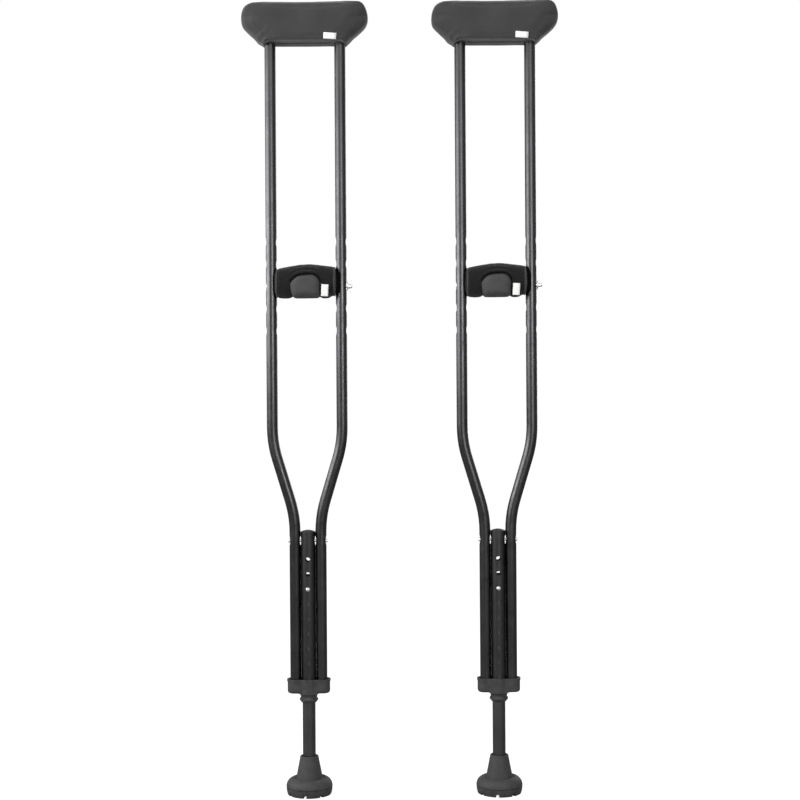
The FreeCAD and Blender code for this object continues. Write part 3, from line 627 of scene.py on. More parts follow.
def woven_ribbon(name, colour):
    """Plain woven ribbon, with nothing on it."""
    recipe = Recipe(name, colour, 0.62)
    rows = recipe.bands(0.45 * MM, "Z")
    columns = recipe.bands(0.6 * MM, "X")
    recipe.vary_colour(recipe.noise(300.0, 3.0), 0.93, 1.03)
    recipe.raise_by(recipe.maths("MULTIPLY", rows, columns), 0.05 * MM)
    recipe.set("Sheen Weight", 0.15)
    return recipe.done()


def thread(name, colour):
    """Twisted sewing thread."""
    recipe = Recipe(name, colour, 0.7)
    recipe.vary_colour(recipe.noise(900.0, 2.0), 0.8, 1.25)
    recipe.raise_by(recipe.bands(0.35 * MM, "DIAGONAL"), 0.05 * MM)
    recipe.set("Sheen Weight", 0.2)
    return recipe.done()


MATERIALS = {
    "black_upright": anodised_metal("anodised_black", (0.066, 0.066, 0.068), 0.30),
    "black_centre_tube": anodised_metal("anodised_deep_black", (0.055, 0.055, 0.057), 0.42),
    "charcoal_leg": anodised_metal("anodised_charcoal", (0.080, 0.080, 0.082), 0.46),
    "charcoal_plastic": moulded_plastic("collar_plastic", (0.033, 0.033, 0.0345), 0.50),
    "black_plastic": moulded_plastic("cap_plastic", (0.018, 0.018, 0.019), 0.40),
    "tip_rubber": moulded_rubber("tip_rubber", (0.035, 0.035, 0.036)),
    "bright_steel": plated_steel("zinc_plate", (0.86, 0.86, 0.85), 0.42),
    "spring_steel": plated_steel("spring_steel", (0.42, 0.42, 0.43), 0.35),
    "foam": moulded_rubber("foam", (0.04, 0.04, 0.04)),
    "pad_fabric": knitted_cloth("pad_knit", (0.033, 0.033, 0.034), 0.9 * MM, 0.10 * MM, sheen=0.28),
    "wrap_fabric": knitted_cloth("wrap_loop", (0.0078, 0.0078, 0.0080), 0.8 * MM, 0.18 * MM,
                                 sheen=0.15, roughness=0.95, fuzz=0.7, specular=0.25),
    "palm_fabric": knitted_cloth("palm_knit", (0.046, 0.046, 0.047), 0.7 * MM, 0.06 * MM,
                                 sheen=0.10, roughness=0.8, fuzz=0.3),
    "white_tag": woven_ribbon("tag_ribbon", (0.86, 0.86, 0.85)),
    "wrap_binding": knitted_cloth("binding_tape", (0.030, 0.030, 0.031), 0.6 * MM, 0.10 * MM,
                                  sheen=0.25, roughness=0.85),
    # Near-black cloth with almost no reflection: painted shade, used for the roll in the dip over the palm
    # cushion and, with their own black, for the laps over the uprights.
    "shade_black_cloth": knitted_cloth("shade_black_cloth", (0.0022, 0.0022, 0.0022), 0.6 * MM, 0.08 * MM,
                                   sheen=0.0, roughness=1.0, specular=0.08),
    "black_thread": thread("thread_black", (0.030, 0.030, 0.031)),
    "grey_thread": thread("thread_grey", (0.045, 0.045, 0.046)),
}
SLOT_OF_NODE = {part["node"]: part["material_slot"] for part in frame["record"]["subparts"]}

for node_name, node in frame["nodes"].items():
    node.data.materials.clear()
    node.data.materials.append(MATERIALS[SLOT_OF_NODE[node_name]])


def finish_piece(piece, slot, body, stands_for=(), material=None):
    """Gives a piece of crutch 1 its material, a copy on crutch 2, and a body to ride on."""
    name = piece.name
    piece.data.materials.clear()
    piece.data.materials.append(MATERIALS[material or slot])
    for number in NUMBERS:
        item = piece if number == 1 else new_object(name, piece.data)
        item.name = f"crutch{number}_{name}"
        item.location = AXIS[number]
        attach(item, f"crutch{number}_{body}")
        if stands_for:
            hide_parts(*[f"crutch{number}_{node}" for node in stands_for])


# ------------------------------------------------------------------ underarm rest

# The rest's front view, from the middle of its top round one end to the middle of its underside,
# as shares of its half width and of its height. The cover hangs lower outside the uprights.
PAD_RIGHT = (
    (0.000, 0.990), (0.460, 0.992), (0.765, 1.004), (0.880, 0.998), (0.945, 0.925), (0.985, 0.795),
    (1.004, 0.640), (0.995, 0.500), (0.955, 0.385), (0.868, 0.250), (0.765, 0.110), (0.695, 0.010),
    (0.662, -0.030), (0.628, -0.026), (0.590, 0.008), (0.500, 0.014), (0.300, 0.014), (0.000, 0.014),
)
PAD_LEFT = (
    (0.000, 0.990), (0.460, 0.992), (0.740, 0.992), (0.840, 0.980), (0.935, 0.905), (0.985, 0.790),
    (1.004, 0.625), (0.998, 0.470), (0.965, 0.375), (0.840, 0.180), (0.762, 0.046), (0.700, -0.020),
    (0.664, -0.054), (0.630, -0.048), (0.592, 0.000), (0.500, 0.014), (0.300, 0.014), (0.000, 0.014),
)
PAD_UNDERSIDE = 0.014            # share of the height
PAD_SPINE_X = 0.42               # share of the half width
PAD_SPINE_Z = 0.52               # share of the height
PAD_COUNTS = (88, 22, 28)
PAD_DEPTH = PAD_HIGH.y + 2.6 * MM
PAD_SWELL = 1.6 * MM
SEAM_INSET = 0.13                # end seams, share of the way in from the outline
SEAM_FROM = (0.70, 0.10)         # where they start, shares of the half width and of the height
HEM_WIDTH = 7.0 * MM
SEAM_STEP = 1.0 * MM
HEM_GROOVE = (2.6 * MM, 0.35 * MM)               # half width and depth
SEAM_GROOVE = (2.2 * MM, 0.40 * MM)
SEAM_CORD = (-0.1 * MM, 0.40 * MM)               # lift off the cloth and radius
FOLD_CORD = (-0.25 * MM, 0.6 * MM)
SLIT_CORD = (0.1 * MM, 0.8 * MM)
SEAM_STITCH_ASIDE = 2.0 * MM
SLIT_STITCH_ASIDE = 3.2 * MM
# Gathers about an upright: turn in degrees, length in millimetres and height in millimetres.
PAD_GATHERS = ((200, 24, 0.4), (228, 28, 0.5), (256, 20, 0.35), (302, 18, 0.3),
               (150, 22, 0.35), (110, 20, 0.3))
GATHER_HALF_WIDTH = 4.0 * MM
# Soft folds over the top of each upright, in millimetres: inwards and up at each end, and height.
PAD_FOLDS = ((9, 8, 13, 27, 0.30), (-2, 12, -4, 34, 0.32), (-11, 10, -22, 27, 0.42),
             (-19, 15, -33, 38, 0.30))
FOLD_HALF_WIDTH = 4.6 * MM
CUFF_R = 1.35 * MM
CUFF_POINTS = 72
CUFF_GAP = 1.5 * MM              # from the upright to the middle of the cuff's roll
BORE_CLEARANCE = 0.25 * MM
BORE_BELOW, BORE_ABOVE = 0.010, 0.034            # from the foot of the rest


def pad_point(share_x, share_z):
    """A point of the rest's front view, from shares of its half width and of its height."""
    height = PAD_HIGH.z - PAD_LOW.z
    return Vector((share_x * PAD_HIGH.x, 0.0, PAD_LOW.z + share_z * height))


def pad_outline():
    """The rest's whole front view as an even closed line."""
    right = [pad_point(x, z) for x, z in PAD_RIGHT]
    left = [pad_point(-x, z) for x, z in reversed(PAD_LEFT[1:-1])]
    return even_path(curve_through(right + left, 8, closed=True), 2.0 * MM, closed=True)


def pad_spine_end(end):
    """The left (-1) or the right (1) end of the line that the rest is rounded about."""
    return Vector((end * PAD_SPINE_X * PAD_HIGH.x, 0.0, pad_point(0, PAD_SPINE_Z).z))


def pad_squareness(point):
    """Round at the ends, boxy along the top, and sharp-edged underneath between the uprights."""
    high = smooth_step(point.z, pad_point(0, 0.60).z, pad_point(0, 0.92).z)
    low = 1 - smooth_step(point.z, pad_point(0, 0.02).z, pad_point(0, 0.12).z)
    inside = 1 - smooth_step(abs(point.x), UPRIGHT_X - 4 * MM, UPRIGHT_X + 14 * MM)
    return 3.4 + 3.2 * high + 1.0 * low + 30.0 * low * inside


def blown_pad():
    """The filled cover before it is sewn, and its lower edges by side."""
    reach = PAD_SPINE_X * PAD_HIGH.x
    spine = (-reach, reach, pad_point(0, PAD_SPINE_Z).z)
    form = cushion_form(pad_outline(), spine, PAD_DEPTH, PAD_DEPTH, pad_squareness, layers=30)
    low = Vector((-PAD_HIGH.x, -PAD_DEPTH, pad_point(0, PAD_UNDERSIDE).z))
    high = Vector((PAD_HIGH.x, PAD_DEPTH, PAD_HIGH.z))
    pad, number = grid_on_form("pad_cover", form, (low, high), PAD_COUNTS, spine)
    last_x, last_y = PAD_COUNTS[:2]
    held = {}
    for (_, j, k), index in number.items():
        if k == 0:
            held[index] = 1.0 if j in (0, last_y) else 0.9
    swell(pad, held, pressure=3.0, frames=16, cap=PAD_SWELL, spare=0.004)
    edges = {}
    for side, row in ((-1, 0), (1, last_y)):
        numbers = [number[(i, row, 0)] for i in range(last_x + 1)]
        edges[side] = [pad.data.vertices[index].co.copy() for index in numbers]
    subdivide(pad)
    crumple(pad, 0.18 * MM, 15 * MM)
    crumple(pad, 0.40 * MM, 42 * MM)
    return pad, edges


def gather_cover(pad):
    """Gathers that run out from where each upright goes in, and soft folds up from there."""
    for end in (-1, 1):
        for turn, length, height in PAD_GATHERS:
            angle = math.radians(turn if end < 0 else 180 - turn)
            way = Vector((math.cos(angle), math.sin(angle), 0.0))
            start = Vector((end * UPRIGHT_X, 0.0, PAD_LOW.z)) + way * (UPRIGHT_R + CUFF_GAP)
            line = Surface(pad).laid([start + way * length * MM * i / 10 for i in range(11)])
            press(pad, line, GATHER_HALF_WIDTH, -height * MM, taper=True)
        for side in (-1, 1):
            for x0, z0, x1, z1, height in PAD_FOLDS:
                a = Vector((end * (UPRIGHT_X - x0 * MM), 0.0, PAD_LOW.z + z0 * MM))
                b = Vector((end * (UPRIGHT_X - x1 * MM), 0.0, PAD_LOW.z + z1 * MM))
                line = Surface(pad).struck([a.lerp(b, i / 24) for i in range(25)], side)
                press(pad, line, FOLD_HALF_WIDTH, -height * MM, taper=True)


def end_seam(end):
    """The seam of the cover's end panel, as seen from the front."""
    line = []
    for point in pad_outline():
        if point.x * end > SEAM_FROM[0] * PAD_HIGH.x and point.z > pad_point(0, SEAM_FROM[1]).z:
            line.append(point.lerp(pad_spine_end(end), SEAM_INSET))
    return even_path(line, SEAM_STEP)


def pull_in(line, end, gap):
    """A seam's line moved towards the middle of the rest's face, for the stitches beside it."""
    return [point + (pad_spine_end(end) - point).normalized() * gap for point in line]


def make_pad():
    """The rest's cover, the cords of its seams and edges, and its stitches."""
    pad, edges = blown_pad()
    gather_cover(pad)
    cords = []
    threads = []
    for side in (-1, 1):
        hem = [p + Vector((0.0, 0.0, HEM_WIDTH)) for p in edges[side] if abs(p.x) < UPRIGHT_X + 6 * MM]
        hem = even_path(hem, SEAM_STEP)
        seams = {end: end_seam(end) for end in (-1, 1)}
        press(pad, Surface(pad).struck(hem, side), *HEM_GROOVE)
        for seam in seams.values():
            press(pad, Surface(pad).struck(seam, side), *SEAM_GROOVE)
        surface = Surface(pad)
        threads += stitches(surface, surface.struck(hem, side))
        for end, seam in seams.items():
            cords.append(tube_rings(surface.struck(seam, side, SEAM_CORD[0]), SEAM_CORD[1], 8))
            aside = pull_in(seam, end, SEAM_STITCH_ASIDE)
            threads += stitches(surface, surface.struck(aside, side))
        fold = even_path([p for p in edges[side] if abs(p.x) < UPRIGHT_X + 10 * MM], SEAM_STEP)
        cords.append(tube_rings(surface.laid(fold, FOLD_CORD[0]), FOLD_CORD[1], 10))
    surface = Surface(pad)
    slit_end = UPRIGHT_X - UPRIGHT_R - 4 * MM
    slit = even_path([Vector((x, 0.0, PAD_LOW.z)) for x in (-slit_end, slit_end)], SEAM_STEP)
    cords.append(tube_rings(surface.laid(slit, SLIT_CORD[0]), SLIT_CORD[1], 8))
    for aside in (-SLIT_STITCH_ASIDE, SLIT_STITCH_ASIDE):
        threads += stitches(surface, [p + Vector((0.0, aside, 0.0)) for p in slit])
    return pad, many_tubes("pad_hems", cords), many_tubes("pad_stitches", threads)


def bore_pad(pad):
    """Opens the underside of the rest for the uprights."""
    for side in (-1, 1):
        foot = Vector((side * UPRIGHT_X, 0.0, PAD_LOW.z - BORE_BELOW))
        top = Vector((side * UPRIGHT_X, 0.0, PAD_LOW.z + BORE_ABOVE))
        bore = tube_rings([foot, top], UPRIGHT_R + BORE_CLEARANCE, 48, end_size=1.0)
        cut_away(pad, rings_to_mesh("bore", bore))


def make_cuffs():
    """The gathered roll of cloth round each upright where it goes into the rest."""
    runs = []
    for side in (-1, 1):
        ring = []
        for i in range(CUFF_POINTS + 1):
            angle = 2 * math.pi * i / CUFF_POINTS
            reach = UPRIGHT_R + CUFF_GAP + 0.25 * MM * math.sin(9 * angle)
            reach += 0.15 * MM * math.sin(4 * angle + side)
            drop = 0.35 * MM * math.sin(3 * angle + 0.6 * side)
            x = side * UPRIGHT_X + reach * math.cos(angle)
            ring.append(Vector((x, reach * math.sin(angle), PAD_LOW.z + 0.3 * MM + drop)))
        runs.append(tube_rings(ring, CUFF_R, 10, end_size=1.0))
    return many_tubes("pad_cuffs", runs)


pad, pad_hems, pad_threads = make_pad()
bore_pad(pad)
finish_piece(pad, "pad_fabric", "frame", ("underarm_foam", "underarm_cover"))
finish_piece(pad_hems, "pad_fabric", "frame")
finish_piece(pad_threads, "pad_fabric", "frame", material="black_thread")
finish_piece(make_cuffs(), "pad_fabric", "frame")


# ------------------------------------------------------------------ hand grip

# The wrap's front view: its top and bottom edges, in millimetres from the crutch's axis and from
# the bolt's height.
WRAP_TOP = (
    (-52.5, 22.0), (-51.6, 26.4), (-49, 29.0), (-45, 31.2), (-28, 34.4), (-8, 37.2), (4, 37.8),
    (15, 37.0), (32, 35.2), (44, 33.6), (47.4, 32.4), (50.2, 29.6), (51.2, 24.0),
)
WRAP_BOTTOM = (
    (-52.5, -12.0), (-51.6, -15.4), (-49.5, -17.6), (-47, -19.2), (-44, -20.0), (-36, -20.2),
    (-28, -20.0), (-25.5, -18.8), (-23, -16.8), (-10, -16.2), (10, -16.2), (22.5, -16.8),
    (25, -19.4), (29, -20.2), (37, -20.2), (40.5, -18.4), (43, -16.4), (47, -15.6), (50.2, -14.8),
    (51.2, -10.0),
)
WRAP_RINGS = 56
WRAP_POINTS = 60
WRAP_VOXEL = 2.0 * MM
SLOT_GAP = 0.5 * MM
BINDINGS = ((-49.6, 1.35), (48.6, 1.5))          # place along the grip, and radius
# The inner sleeve that laps over each upright: place along the grip, top, bottom, half depth.
LEFT_LAP = ((-44, 26.0, -14.0, 17.0), (-50, 26.0, -13.6, 16.0),
            (-53.6, 25.2, -12.8, 14.6), (-55.0, 23.4, -11.0, 13.0))
RIGHT_LAP = ((43, 28.0, -14.0, 18.0), (49, 27.8, -13.2, 16.6),
             (57.5, 25.8, -12.2, 14.8), (59.4, 24.0, -10.6, 13.2))
LAP_STEPS = 5
LAP_VOXEL = 1.3 * MM
# Folds over the palm cushion: distance from its outline, how far above the bolt they start, half
# width and depth. A depth below zero is a ridge.
OVER_FOLDS = ((1.7, 4.0, 2.5, 3.2), (5.2, 6.0, 3.0, -1.1), (9.0, 8.0, 2.4, 0.45),
              (12.6, 9.0, 2.6, -0.45), (15.2, 9.0, 2.0, 0.35))
# Creases in the wrap's front: place along the grip, top, foot and depth.
CREASES = ((-46.0, 22, -14, 0.3), (-39, 16, -6, 0.3), (-34, 8, -14, -0.3), (44.5, 24, -8, 0.3),
           (36, 28, 8, 0.35), (-30, 31, 24, 0.3), (28, 32, 22, -0.3))
CREASE_LEAN = 0.06
CREASE_HALF_WIDTH = 2.4 * MM
CUSHION_OUTLINE = (
    (0, 18.7), (8, 18.9), (13, 18.5), (17.5, 16.6), (21, 13.4), (23.6, 8.0), (24.8, 2.0),
    (24.6, -6.0), (24.0, -14.0), (22.8, -18.0), (20.0, -19.9), (12, -20.4), (0, -20.6),
    (-14, -20.5), (-20.5, -19.6), (-24.2, -15.5), (-26.6, -9.0), (-27.8, -3.0), (-27.9, 1.0),
    (-26.2, 5.4), (-22.6, 10.2), (-17.6, 14.2), (-12, 17.0), (-5, 18.4),
)
CUSHION_SPINE = (-11 * MM, 10 * MM, GRIP_Z - 1 * MM)
CUSHION_FRONT = -CUSHION_LOW.y - 1.2 * MM
CUSHION_BACK = 9 * MM
CUSHION_COUNTS = (30, 18, 22)
CUSHION_FREE_ROWS = 6            # from the front; the rows behind them are held in the wrap
STRIP_COUNTS = (56, 14)
STRIP_CORNER = 3.0 * MM
STRIP_OUTER, STRIP_INNER = 1.35 * MM, 0.1 * MM   # its two faces, above the wrap
STRIP_MARGIN = 2.6 * MM          # from its edge to its stitches
END_STITCHES = (-46.4, 46.8)     # places along the grip
END_STITCH_LENGTH = 2.2 * MM
END_STITCH_GAP = 1.6 * MM


def grip_curve(points):
    """(x, height) points in millimetres about the bolt, as a smooth profile in metres."""
    return curve_through([Vector((x * MM, GRIP_Z + z * MM)) for x, z in points], 6)


WRAP_TOP_CURVE = grip_curve(WRAP_TOP)
WRAP_BOTTOM_CURVE = grip_curve(WRAP_BOTTOM)
WRAP_ENDS = (WRAP_TOP[0][0] * MM, WRAP_TOP[-1][0] * MM)


def squared(value, power):
    """A cosine or sine pushed outwards: 2 gives a round section, and more a boxier one."""
    return math.copysign(abs(value) ** (2 / power), value)


def rounded_section(x, top, bottom, half_depth, depth_power, height_power):
    """A ring of points across the grip at one place along it."""
    ring = []
    for k in range(WRAP_POINTS):
        angle = 2 * math.pi * k / WRAP_POINTS
        y = squared(math.cos(angle), depth_power) * half_depth
        z = (top + bottom) / 2 + squared(math.sin(angle), height_power) * (top - bottom) / 2
        ring.append(Vector((x, y, z)))
    return ring


def wrap_section(x):
    """The wrap's rounded section at one place along the grip."""
    high = height_along(WRAP_TOP_CURVE, x)
    low = height_along(WRAP_BOTTOM_CURVE, x)
    near_end = min(smooth_step(x, WRAP_ENDS[0] - 2 * MM, WRAP_ENDS[0] + 5 * MM),
                   smooth_step(-x, -WRAP_ENDS[1] - 2 * MM, -WRAP_ENDS[1] + 5 * MM))
    depth = (WRAP_HIGH.y - 0.8 * MM) * (0.84 + 0.16 * near_end)
    return rounded_section(x, high, low, depth, 2.7, 2.3)


def upright_slot(side):
    """A block in the space that an upright needs through the end of the wrap."""
    inner = side * (UPRIGHT_X - UPRIGHT_R - SLOT_GAP)
    outer = side * (UPRIGHT_X + 3 * UPRIGHT_R)
    half = UPRIGHT_R + SLOT_GAP
    rings = []
    for z in (WRAP_LOW.z - 0.02, WRAP_HIGH.z + 0.02):
        rings.append([Vector((inner, -half, z)), Vector((outer, -half, z)),
                      Vector((outer, half, z)), Vector((inner, half, z))])
    return rings_to_mesh("slot", rings)


def section_line(x):
    """The line round the wrap at one place, for seams."""
    ring = wrap_section(x)
    return ring + [ring[0]]


def make_wrap():
    """The filled wrap, with room left at each end for the upright."""
    length = WRAP_ENDS[1] - WRAP_ENDS[0]
    rings = []
    for i in range(WRAP_RINGS + 1):
        share = 0.5 - 0.5 * math.cos(math.pi * i / WRAP_RINGS)
        rings.append(wrap_section(WRAP_ENDS[0] + length * share))
    wrap = rings_to_mesh("grip_wrap_cloth", rings)
    for side in (-1, 1):
        cut_away(wrap, upright_slot(side))
    voxel_remesh(wrap, WRAP_VOXEL)
    relax(wrap, 3)
    swell(wrap, {}, pressure=2.0, frames=8, cap=0.8 * MM, spare=0.01)
    subdivide(wrap)
    crumple(wrap, 0.4 * MM, 9 * MM)
    return wrap


def arch_path(outline, away, above):
    """The run over the top of the palm cushion, a set distance outside its outline."""
    over = [p for p in outline if p.z > GRIP_Z + above]
    start = max(range(len(over)), key=lambda i: (over[i] - over[i - 1]).length)
    hub = Vector((-2.0 * MM, 0.0, GRIP_Z - 2.0 * MM))
    return [p + (p - hub).normalized() * away for p in over[start:] + over[:start]]


def wrap_folds(wrap, outline):
    """The dip and lip over the palm cushion, the folds that follow them, and creases near the ends."""
    for away, above, half_width, depth in OVER_FOLDS:
        line = even_path(arch_path(outline, away * MM, above * MM), 1 * MM)
        press(wrap, Surface(wrap).struck(line, -1), half_width * MM, depth * MM, taper=True)
    for x, top, foot, depth in CREASES:
        crease = []
        for z in range(foot, top):
            crease.append(Vector(((x + CREASE_LEAN * z) * MM, 0.0, GRIP_Z + z * MM)))
        press(wrap, Surface(wrap).struck(crease, -1), CREASE_HALF_WIDTH, depth * MM, taper=True)


def cushion_squareness(point):
    """Boxier towards the top."""
    return 3.4 + 1.4 * smooth_step(point.z, GRIP_Z - 8 * MM, GRIP_Z + 12 * MM)


def make_palm_cushion():
    """The filled palm cushion, and its outline from the front."""
    points = [Vector((x * MM, 0.0, GRIP_Z + z * MM)) for x, z in CUSHION_OUTLINE]
    outline = even_path(curve_through(points, 6, closed=True), 1.6 * MM, closed=True)
    form = cushion_form(outline, CUSHION_SPINE, CUSHION_FRONT, CUSHION_BACK, cushion_squareness, layers=22)
    low = Vector((-28 * MM, -CUSHION_FRONT, GRIP_Z - 20 * MM))
    high = Vector((25 * MM, CUSHION_BACK, GRIP_Z + 18 * MM))
    cushion, number = grid_on_form("palm_cushion_cloth", form, (low, high), CUSHION_COUNTS, CUSHION_SPINE)
    held = {index: 1.0 for (_, j, _), index in number.items() if j > CUSHION_FREE_ROWS}
    swell(cushion, held, pressure=3.0, frames=14, cap=1.0 * MM, spare=0.01)
    subdivide(cushion)
    crumple(cushion, 0.2 * MM, 12 * MM)
    return cushion, outline


def make_shade_roll(outline, surface):
    """A near-black roll laid in the dip between the wrap and the top of the palm cushion: painted shade
    that stands for the shadow in the dip.
    """
    line = even_path(surface.struck(arch_path(outline, 1.5 * MM, 5 * MM), -1, 0.9 * MM), 1.0 * MM)
    rings = []
    for i, (point, (_, side, up)) in enumerate(zip(line, frames_along(line))):
        radius = (0.3 + 1.25 * math.sin(math.pi * i / (len(line) - 1)) ** 0.7) * MM
        rings.append(circle(point, side, up, radius, 14))
    return rings_to_mesh("grip_shade_roll", rings)


def make_end_bindings(surface):
    """The bound edge round each end of the wrap."""
    runs = []
    for x, radius in BINDINGS:
        line = surface.laid(section_line(x * MM), 0.1 * MM)
        runs.append(tube_rings(line, radius * MM, 10, end_size=1.0))
    return many_tubes("grip_bindings", runs)


def make_laps():
    """The black inner sleeve, which comes out of each end of the wrap and over the upright; its near-black
    cloth is partly painted shade for the shadow there.
    """
    laps = []
    for side, profile in ((-1, LEFT_LAP), (1, RIGHT_LAP)):
        rows = []
        for start, end in zip(profile, profile[1:]):
            for step in range(LAP_STEPS):
                share = step / LAP_STEPS
                rows.append([(a + (b - a) * share) * MM for a, b in zip(start, end)])
        rows.append([value * MM for value in profile[-1]])
        rings = []
        for x, top, bottom, half_depth in rows:
            rings.append(rounded_section(x, GRIP_Z + top, GRIP_Z + bottom, half_depth, 4.5, 5.5))
        lap = rings_to_mesh("lap", rings)
        cut_away(lap, upright_slot(side))
        voxel_remesh(lap, LAP_VOXEL)
        relax(lap, 4)
        subdivide(lap)
        crumple(lap, 0.35 * MM, 6 * MM)
        laps.append(lap)
    return join("grip_laps", laps)


def make_closure_strip(surface):
    """The flat strip that closes the wrap down its back, as a patch laid on the wrap."""
    low, high = local_box("grip_closure_strip")
    columns, rows = STRIP_COUNTS
    middle_x, half_x = (low.x + high.x) / 2, (high.x - low.x) / 2
    middle_z, half_z = (low.z + high.z) / 2, (high.z - low.z) / 2
    outer = []
    inner = []
    for i in range(columns + 1):
        for j in range(rows + 1):
            x = low.x + (high.x - low.x) * i / columns
            z = low.z + (high.z - low.z) * j / rows
            dx = max(0.0, abs(x - middle_x) - half_x + STRIP_CORNER)
            dz = max(0.0, abs(z - middle_z) - half_z + STRIP_CORNER)
            if dx > 0 and dz > 0:
                reach = max(dx, dz) / math.hypot(dx, dz)
                x -= math.copysign(dx * (1 - reach), x - middle_x)
                z -= math.copysign(dz * (1 - reach), z - middle_z)
            place, normal = surface.nearest(Vector((x, WRAP_HIGH.y, z)))
            outer.append(place + normal * STRIP_OUTER)
            inner.append(place + normal * STRIP_INNER)
    second = len(outer)
    width = rows + 1
    faces = []
    for i in range(columns):
        for j in range(rows):
            a = i * width + j
            faces.append((a, a + 1, a + 1 + width, a + width))
            faces.append((second + a, second + a + width, second + a + 1 + width, second + a + 1))
    rim = [(i, 0) for i in range(columns)] + [(columns, j) for j in range(rows)]
    rim += [(i, rows) for i in range(columns, 0, -1)] + [(0, j) for j in range(rows, 0, -1)]
    for (i, j), (m, n) in zip(rim, rim[1:] + rim[:1]):
        a, b = i * width + j, m * width + n
        faces.append((a, b, second + b, second + a))
    return recalculate_normals(make_object("grip_strip", outer + inner, faces))


def make_grip_stitches(strip, wrap_surface):
    """The stitches round the closure strip and beside the wrap's bound ends."""
    low, high = local_box("grip_closure_strip")
    left, right = low.x + STRIP_MARGIN, high.x - STRIP_MARGIN
    foot, top = low.z + STRIP_MARGIN, high.z - STRIP_MARGIN
    corners = []
    for x, z in ((left, foot), (right, foot), (right, top), (left, top), (left, foot)):
        corners.append(Vector((x, high.y + 2 * MM, z)))
    runs = stitches(Surface(strip), corners)
    for x in END_STITCHES:
        runs += stitches(wrap_surface, section_line(x * MM), END_STITCH_LENGTH, END_STITCH_GAP)
    return many_tubes("grip_stitches", runs)


wrap = make_wrap()
cushion, cushion_outline = make_palm_cushion()
wrap_folds(wrap, cushion_outline)
wrap_surface = Surface(wrap)
shade_roll = make_shade_roll(cushion_outline, wrap_surface)
bindings = make_end_bindings(wrap_surface)
laps = make_laps()
strip = make_closure_strip(wrap_surface)
grip_threads = make_grip_stitches(strip, wrap_surface)

finish_piece(wrap, "wrap_fabric", "grip", ("grip_foam", "grip_wrap"))
finish_piece(cushion, "palm_fabric", "grip", ("palm_cushion",))
# The near-black roll over the palm cushion is painted shade for the shadow in the dip.
finish_piece(shade_roll, "wrap_fabric", "grip", material="shade_black_cloth")
# The laps are black, and their near-black cloth is partly painted shade.
finish_piece(laps, "wrap_fabric", "grip", material="shade_black_cloth")
finish_piece(bindings, "wrap_fabric", "grip", material="wrap_binding")
finish_piece(strip, "wrap_fabric", "grip", ("grip_closure_strip",), material="wrap_binding")
finish_piece(grip_threads, "wrap_fabric", "grip", material="grey_thread")


# ------------------------------------------------------------------ blank ribbon tags

TAG_LAYER = 0.28 * MM
TAG_STEPS = 14
FOLD_STEPS = 6


def loop_tag(name, foot, lean, width, height, curl):
    """A folded ribbon loop, sewn in along its foot: up the back, over a fold and down the front.

    lean is its tilt in degrees as seen from the front, and curl is how far its front bows out, in
    millimetres."""
    lean = math.radians(lean)
    width_way = Vector((math.cos(lean), 0.0, math.sin(lean)))
    rise_way = Vector((-math.sin(lean), 0.0, math.cos(lean)))
    profile = []                 # the rise, and how far the ribbon is off the cloth in millimetres
    for i in range(TAG_STEPS + 1):
        share = i / TAG_STEPS
        profile.append((share * height, 0.25 + 0.55 * math.sin(math.pi * share * 0.9)))
    for i in range(1, FOLD_STEPS):
        angle = math.pi * i / FOLD_STEPS
        fold = 0.25 + 0.35 * (1 + math.cos(angle)) / 2 + 0.5
        profile.append((height + 0.45 * MM * math.sin(angle), fold))
    for i in range(TAG_STEPS, -1, -1):
        share = i / TAG_STEPS
        bow = 0.95 + curl * math.sin(math.pi * share * 0.75) + 0.35 * share
        profile.append((share * height, bow))
    path = []
    for rise, out in profile:
        path.append(foot + rise_way * rise + Vector((0.0, -1.0, 0.0)) * out * MM)
    return ribbon(name, width_way * width / 2, path, TAG_LAYER)


def make_pad_tag(surface):
    """The blank tag low on the rest's front, beside the right upright."""
    low, high = local_box("underarm_tag")
    foot = Vector(((low.x + high.x) / 2 + 2.0 * MM, 0.0, low.z + 1.2 * MM))
    place, _ = surface.nearest(Vector((foot.x, PAD_LOW.y - 5 * MM, foot.z + 5 * MM)))
    foot.y = place.y - 0.3 * MM
    return loop_tag("pad_tag", foot, -4.0, 21.8 * MM, 9.9 * MM, 0.9)


def make_grip_tag(surface):
    """The blank tag on the wrap's front, to the right of the palm cushion."""
    low, high = local_box("grip_tag")
    foot = Vector(((low.x + high.x) / 2, 0.0, low.z + 0.6 * MM))
    place, _ = surface.nearest(Vector((foot.x, WRAP_LOW.y - 5 * MM, GRIP_Z)))
    foot.y = place.y - 0.2 * MM
    return loop_tag("grip_label", foot, -3.0, 12.0 * MM, 19.8 * MM, 1.2)


finish_piece(make_pad_tag(Surface(pad)), "white_tag", "frame", ("underarm_tag",))
finish_piece(make_grip_tag(wrap_surface), "white_tag", "grip", ("grip_tag",))


# ------------------------------------------------------------------ camera, light and floor

CAMERA_DISTANCE = 2.50
CAMERA_HEIGHT = 0.675
VIEW_HEIGHT = 1.376              # what the square picture takes in, at the crutches
CAMERA_ASIDE = -0.0035
CAMERA_ROLL = math.radians(0.37)
SENSOR_WIDTH = 36.0              # in millimetres, as Blender has it
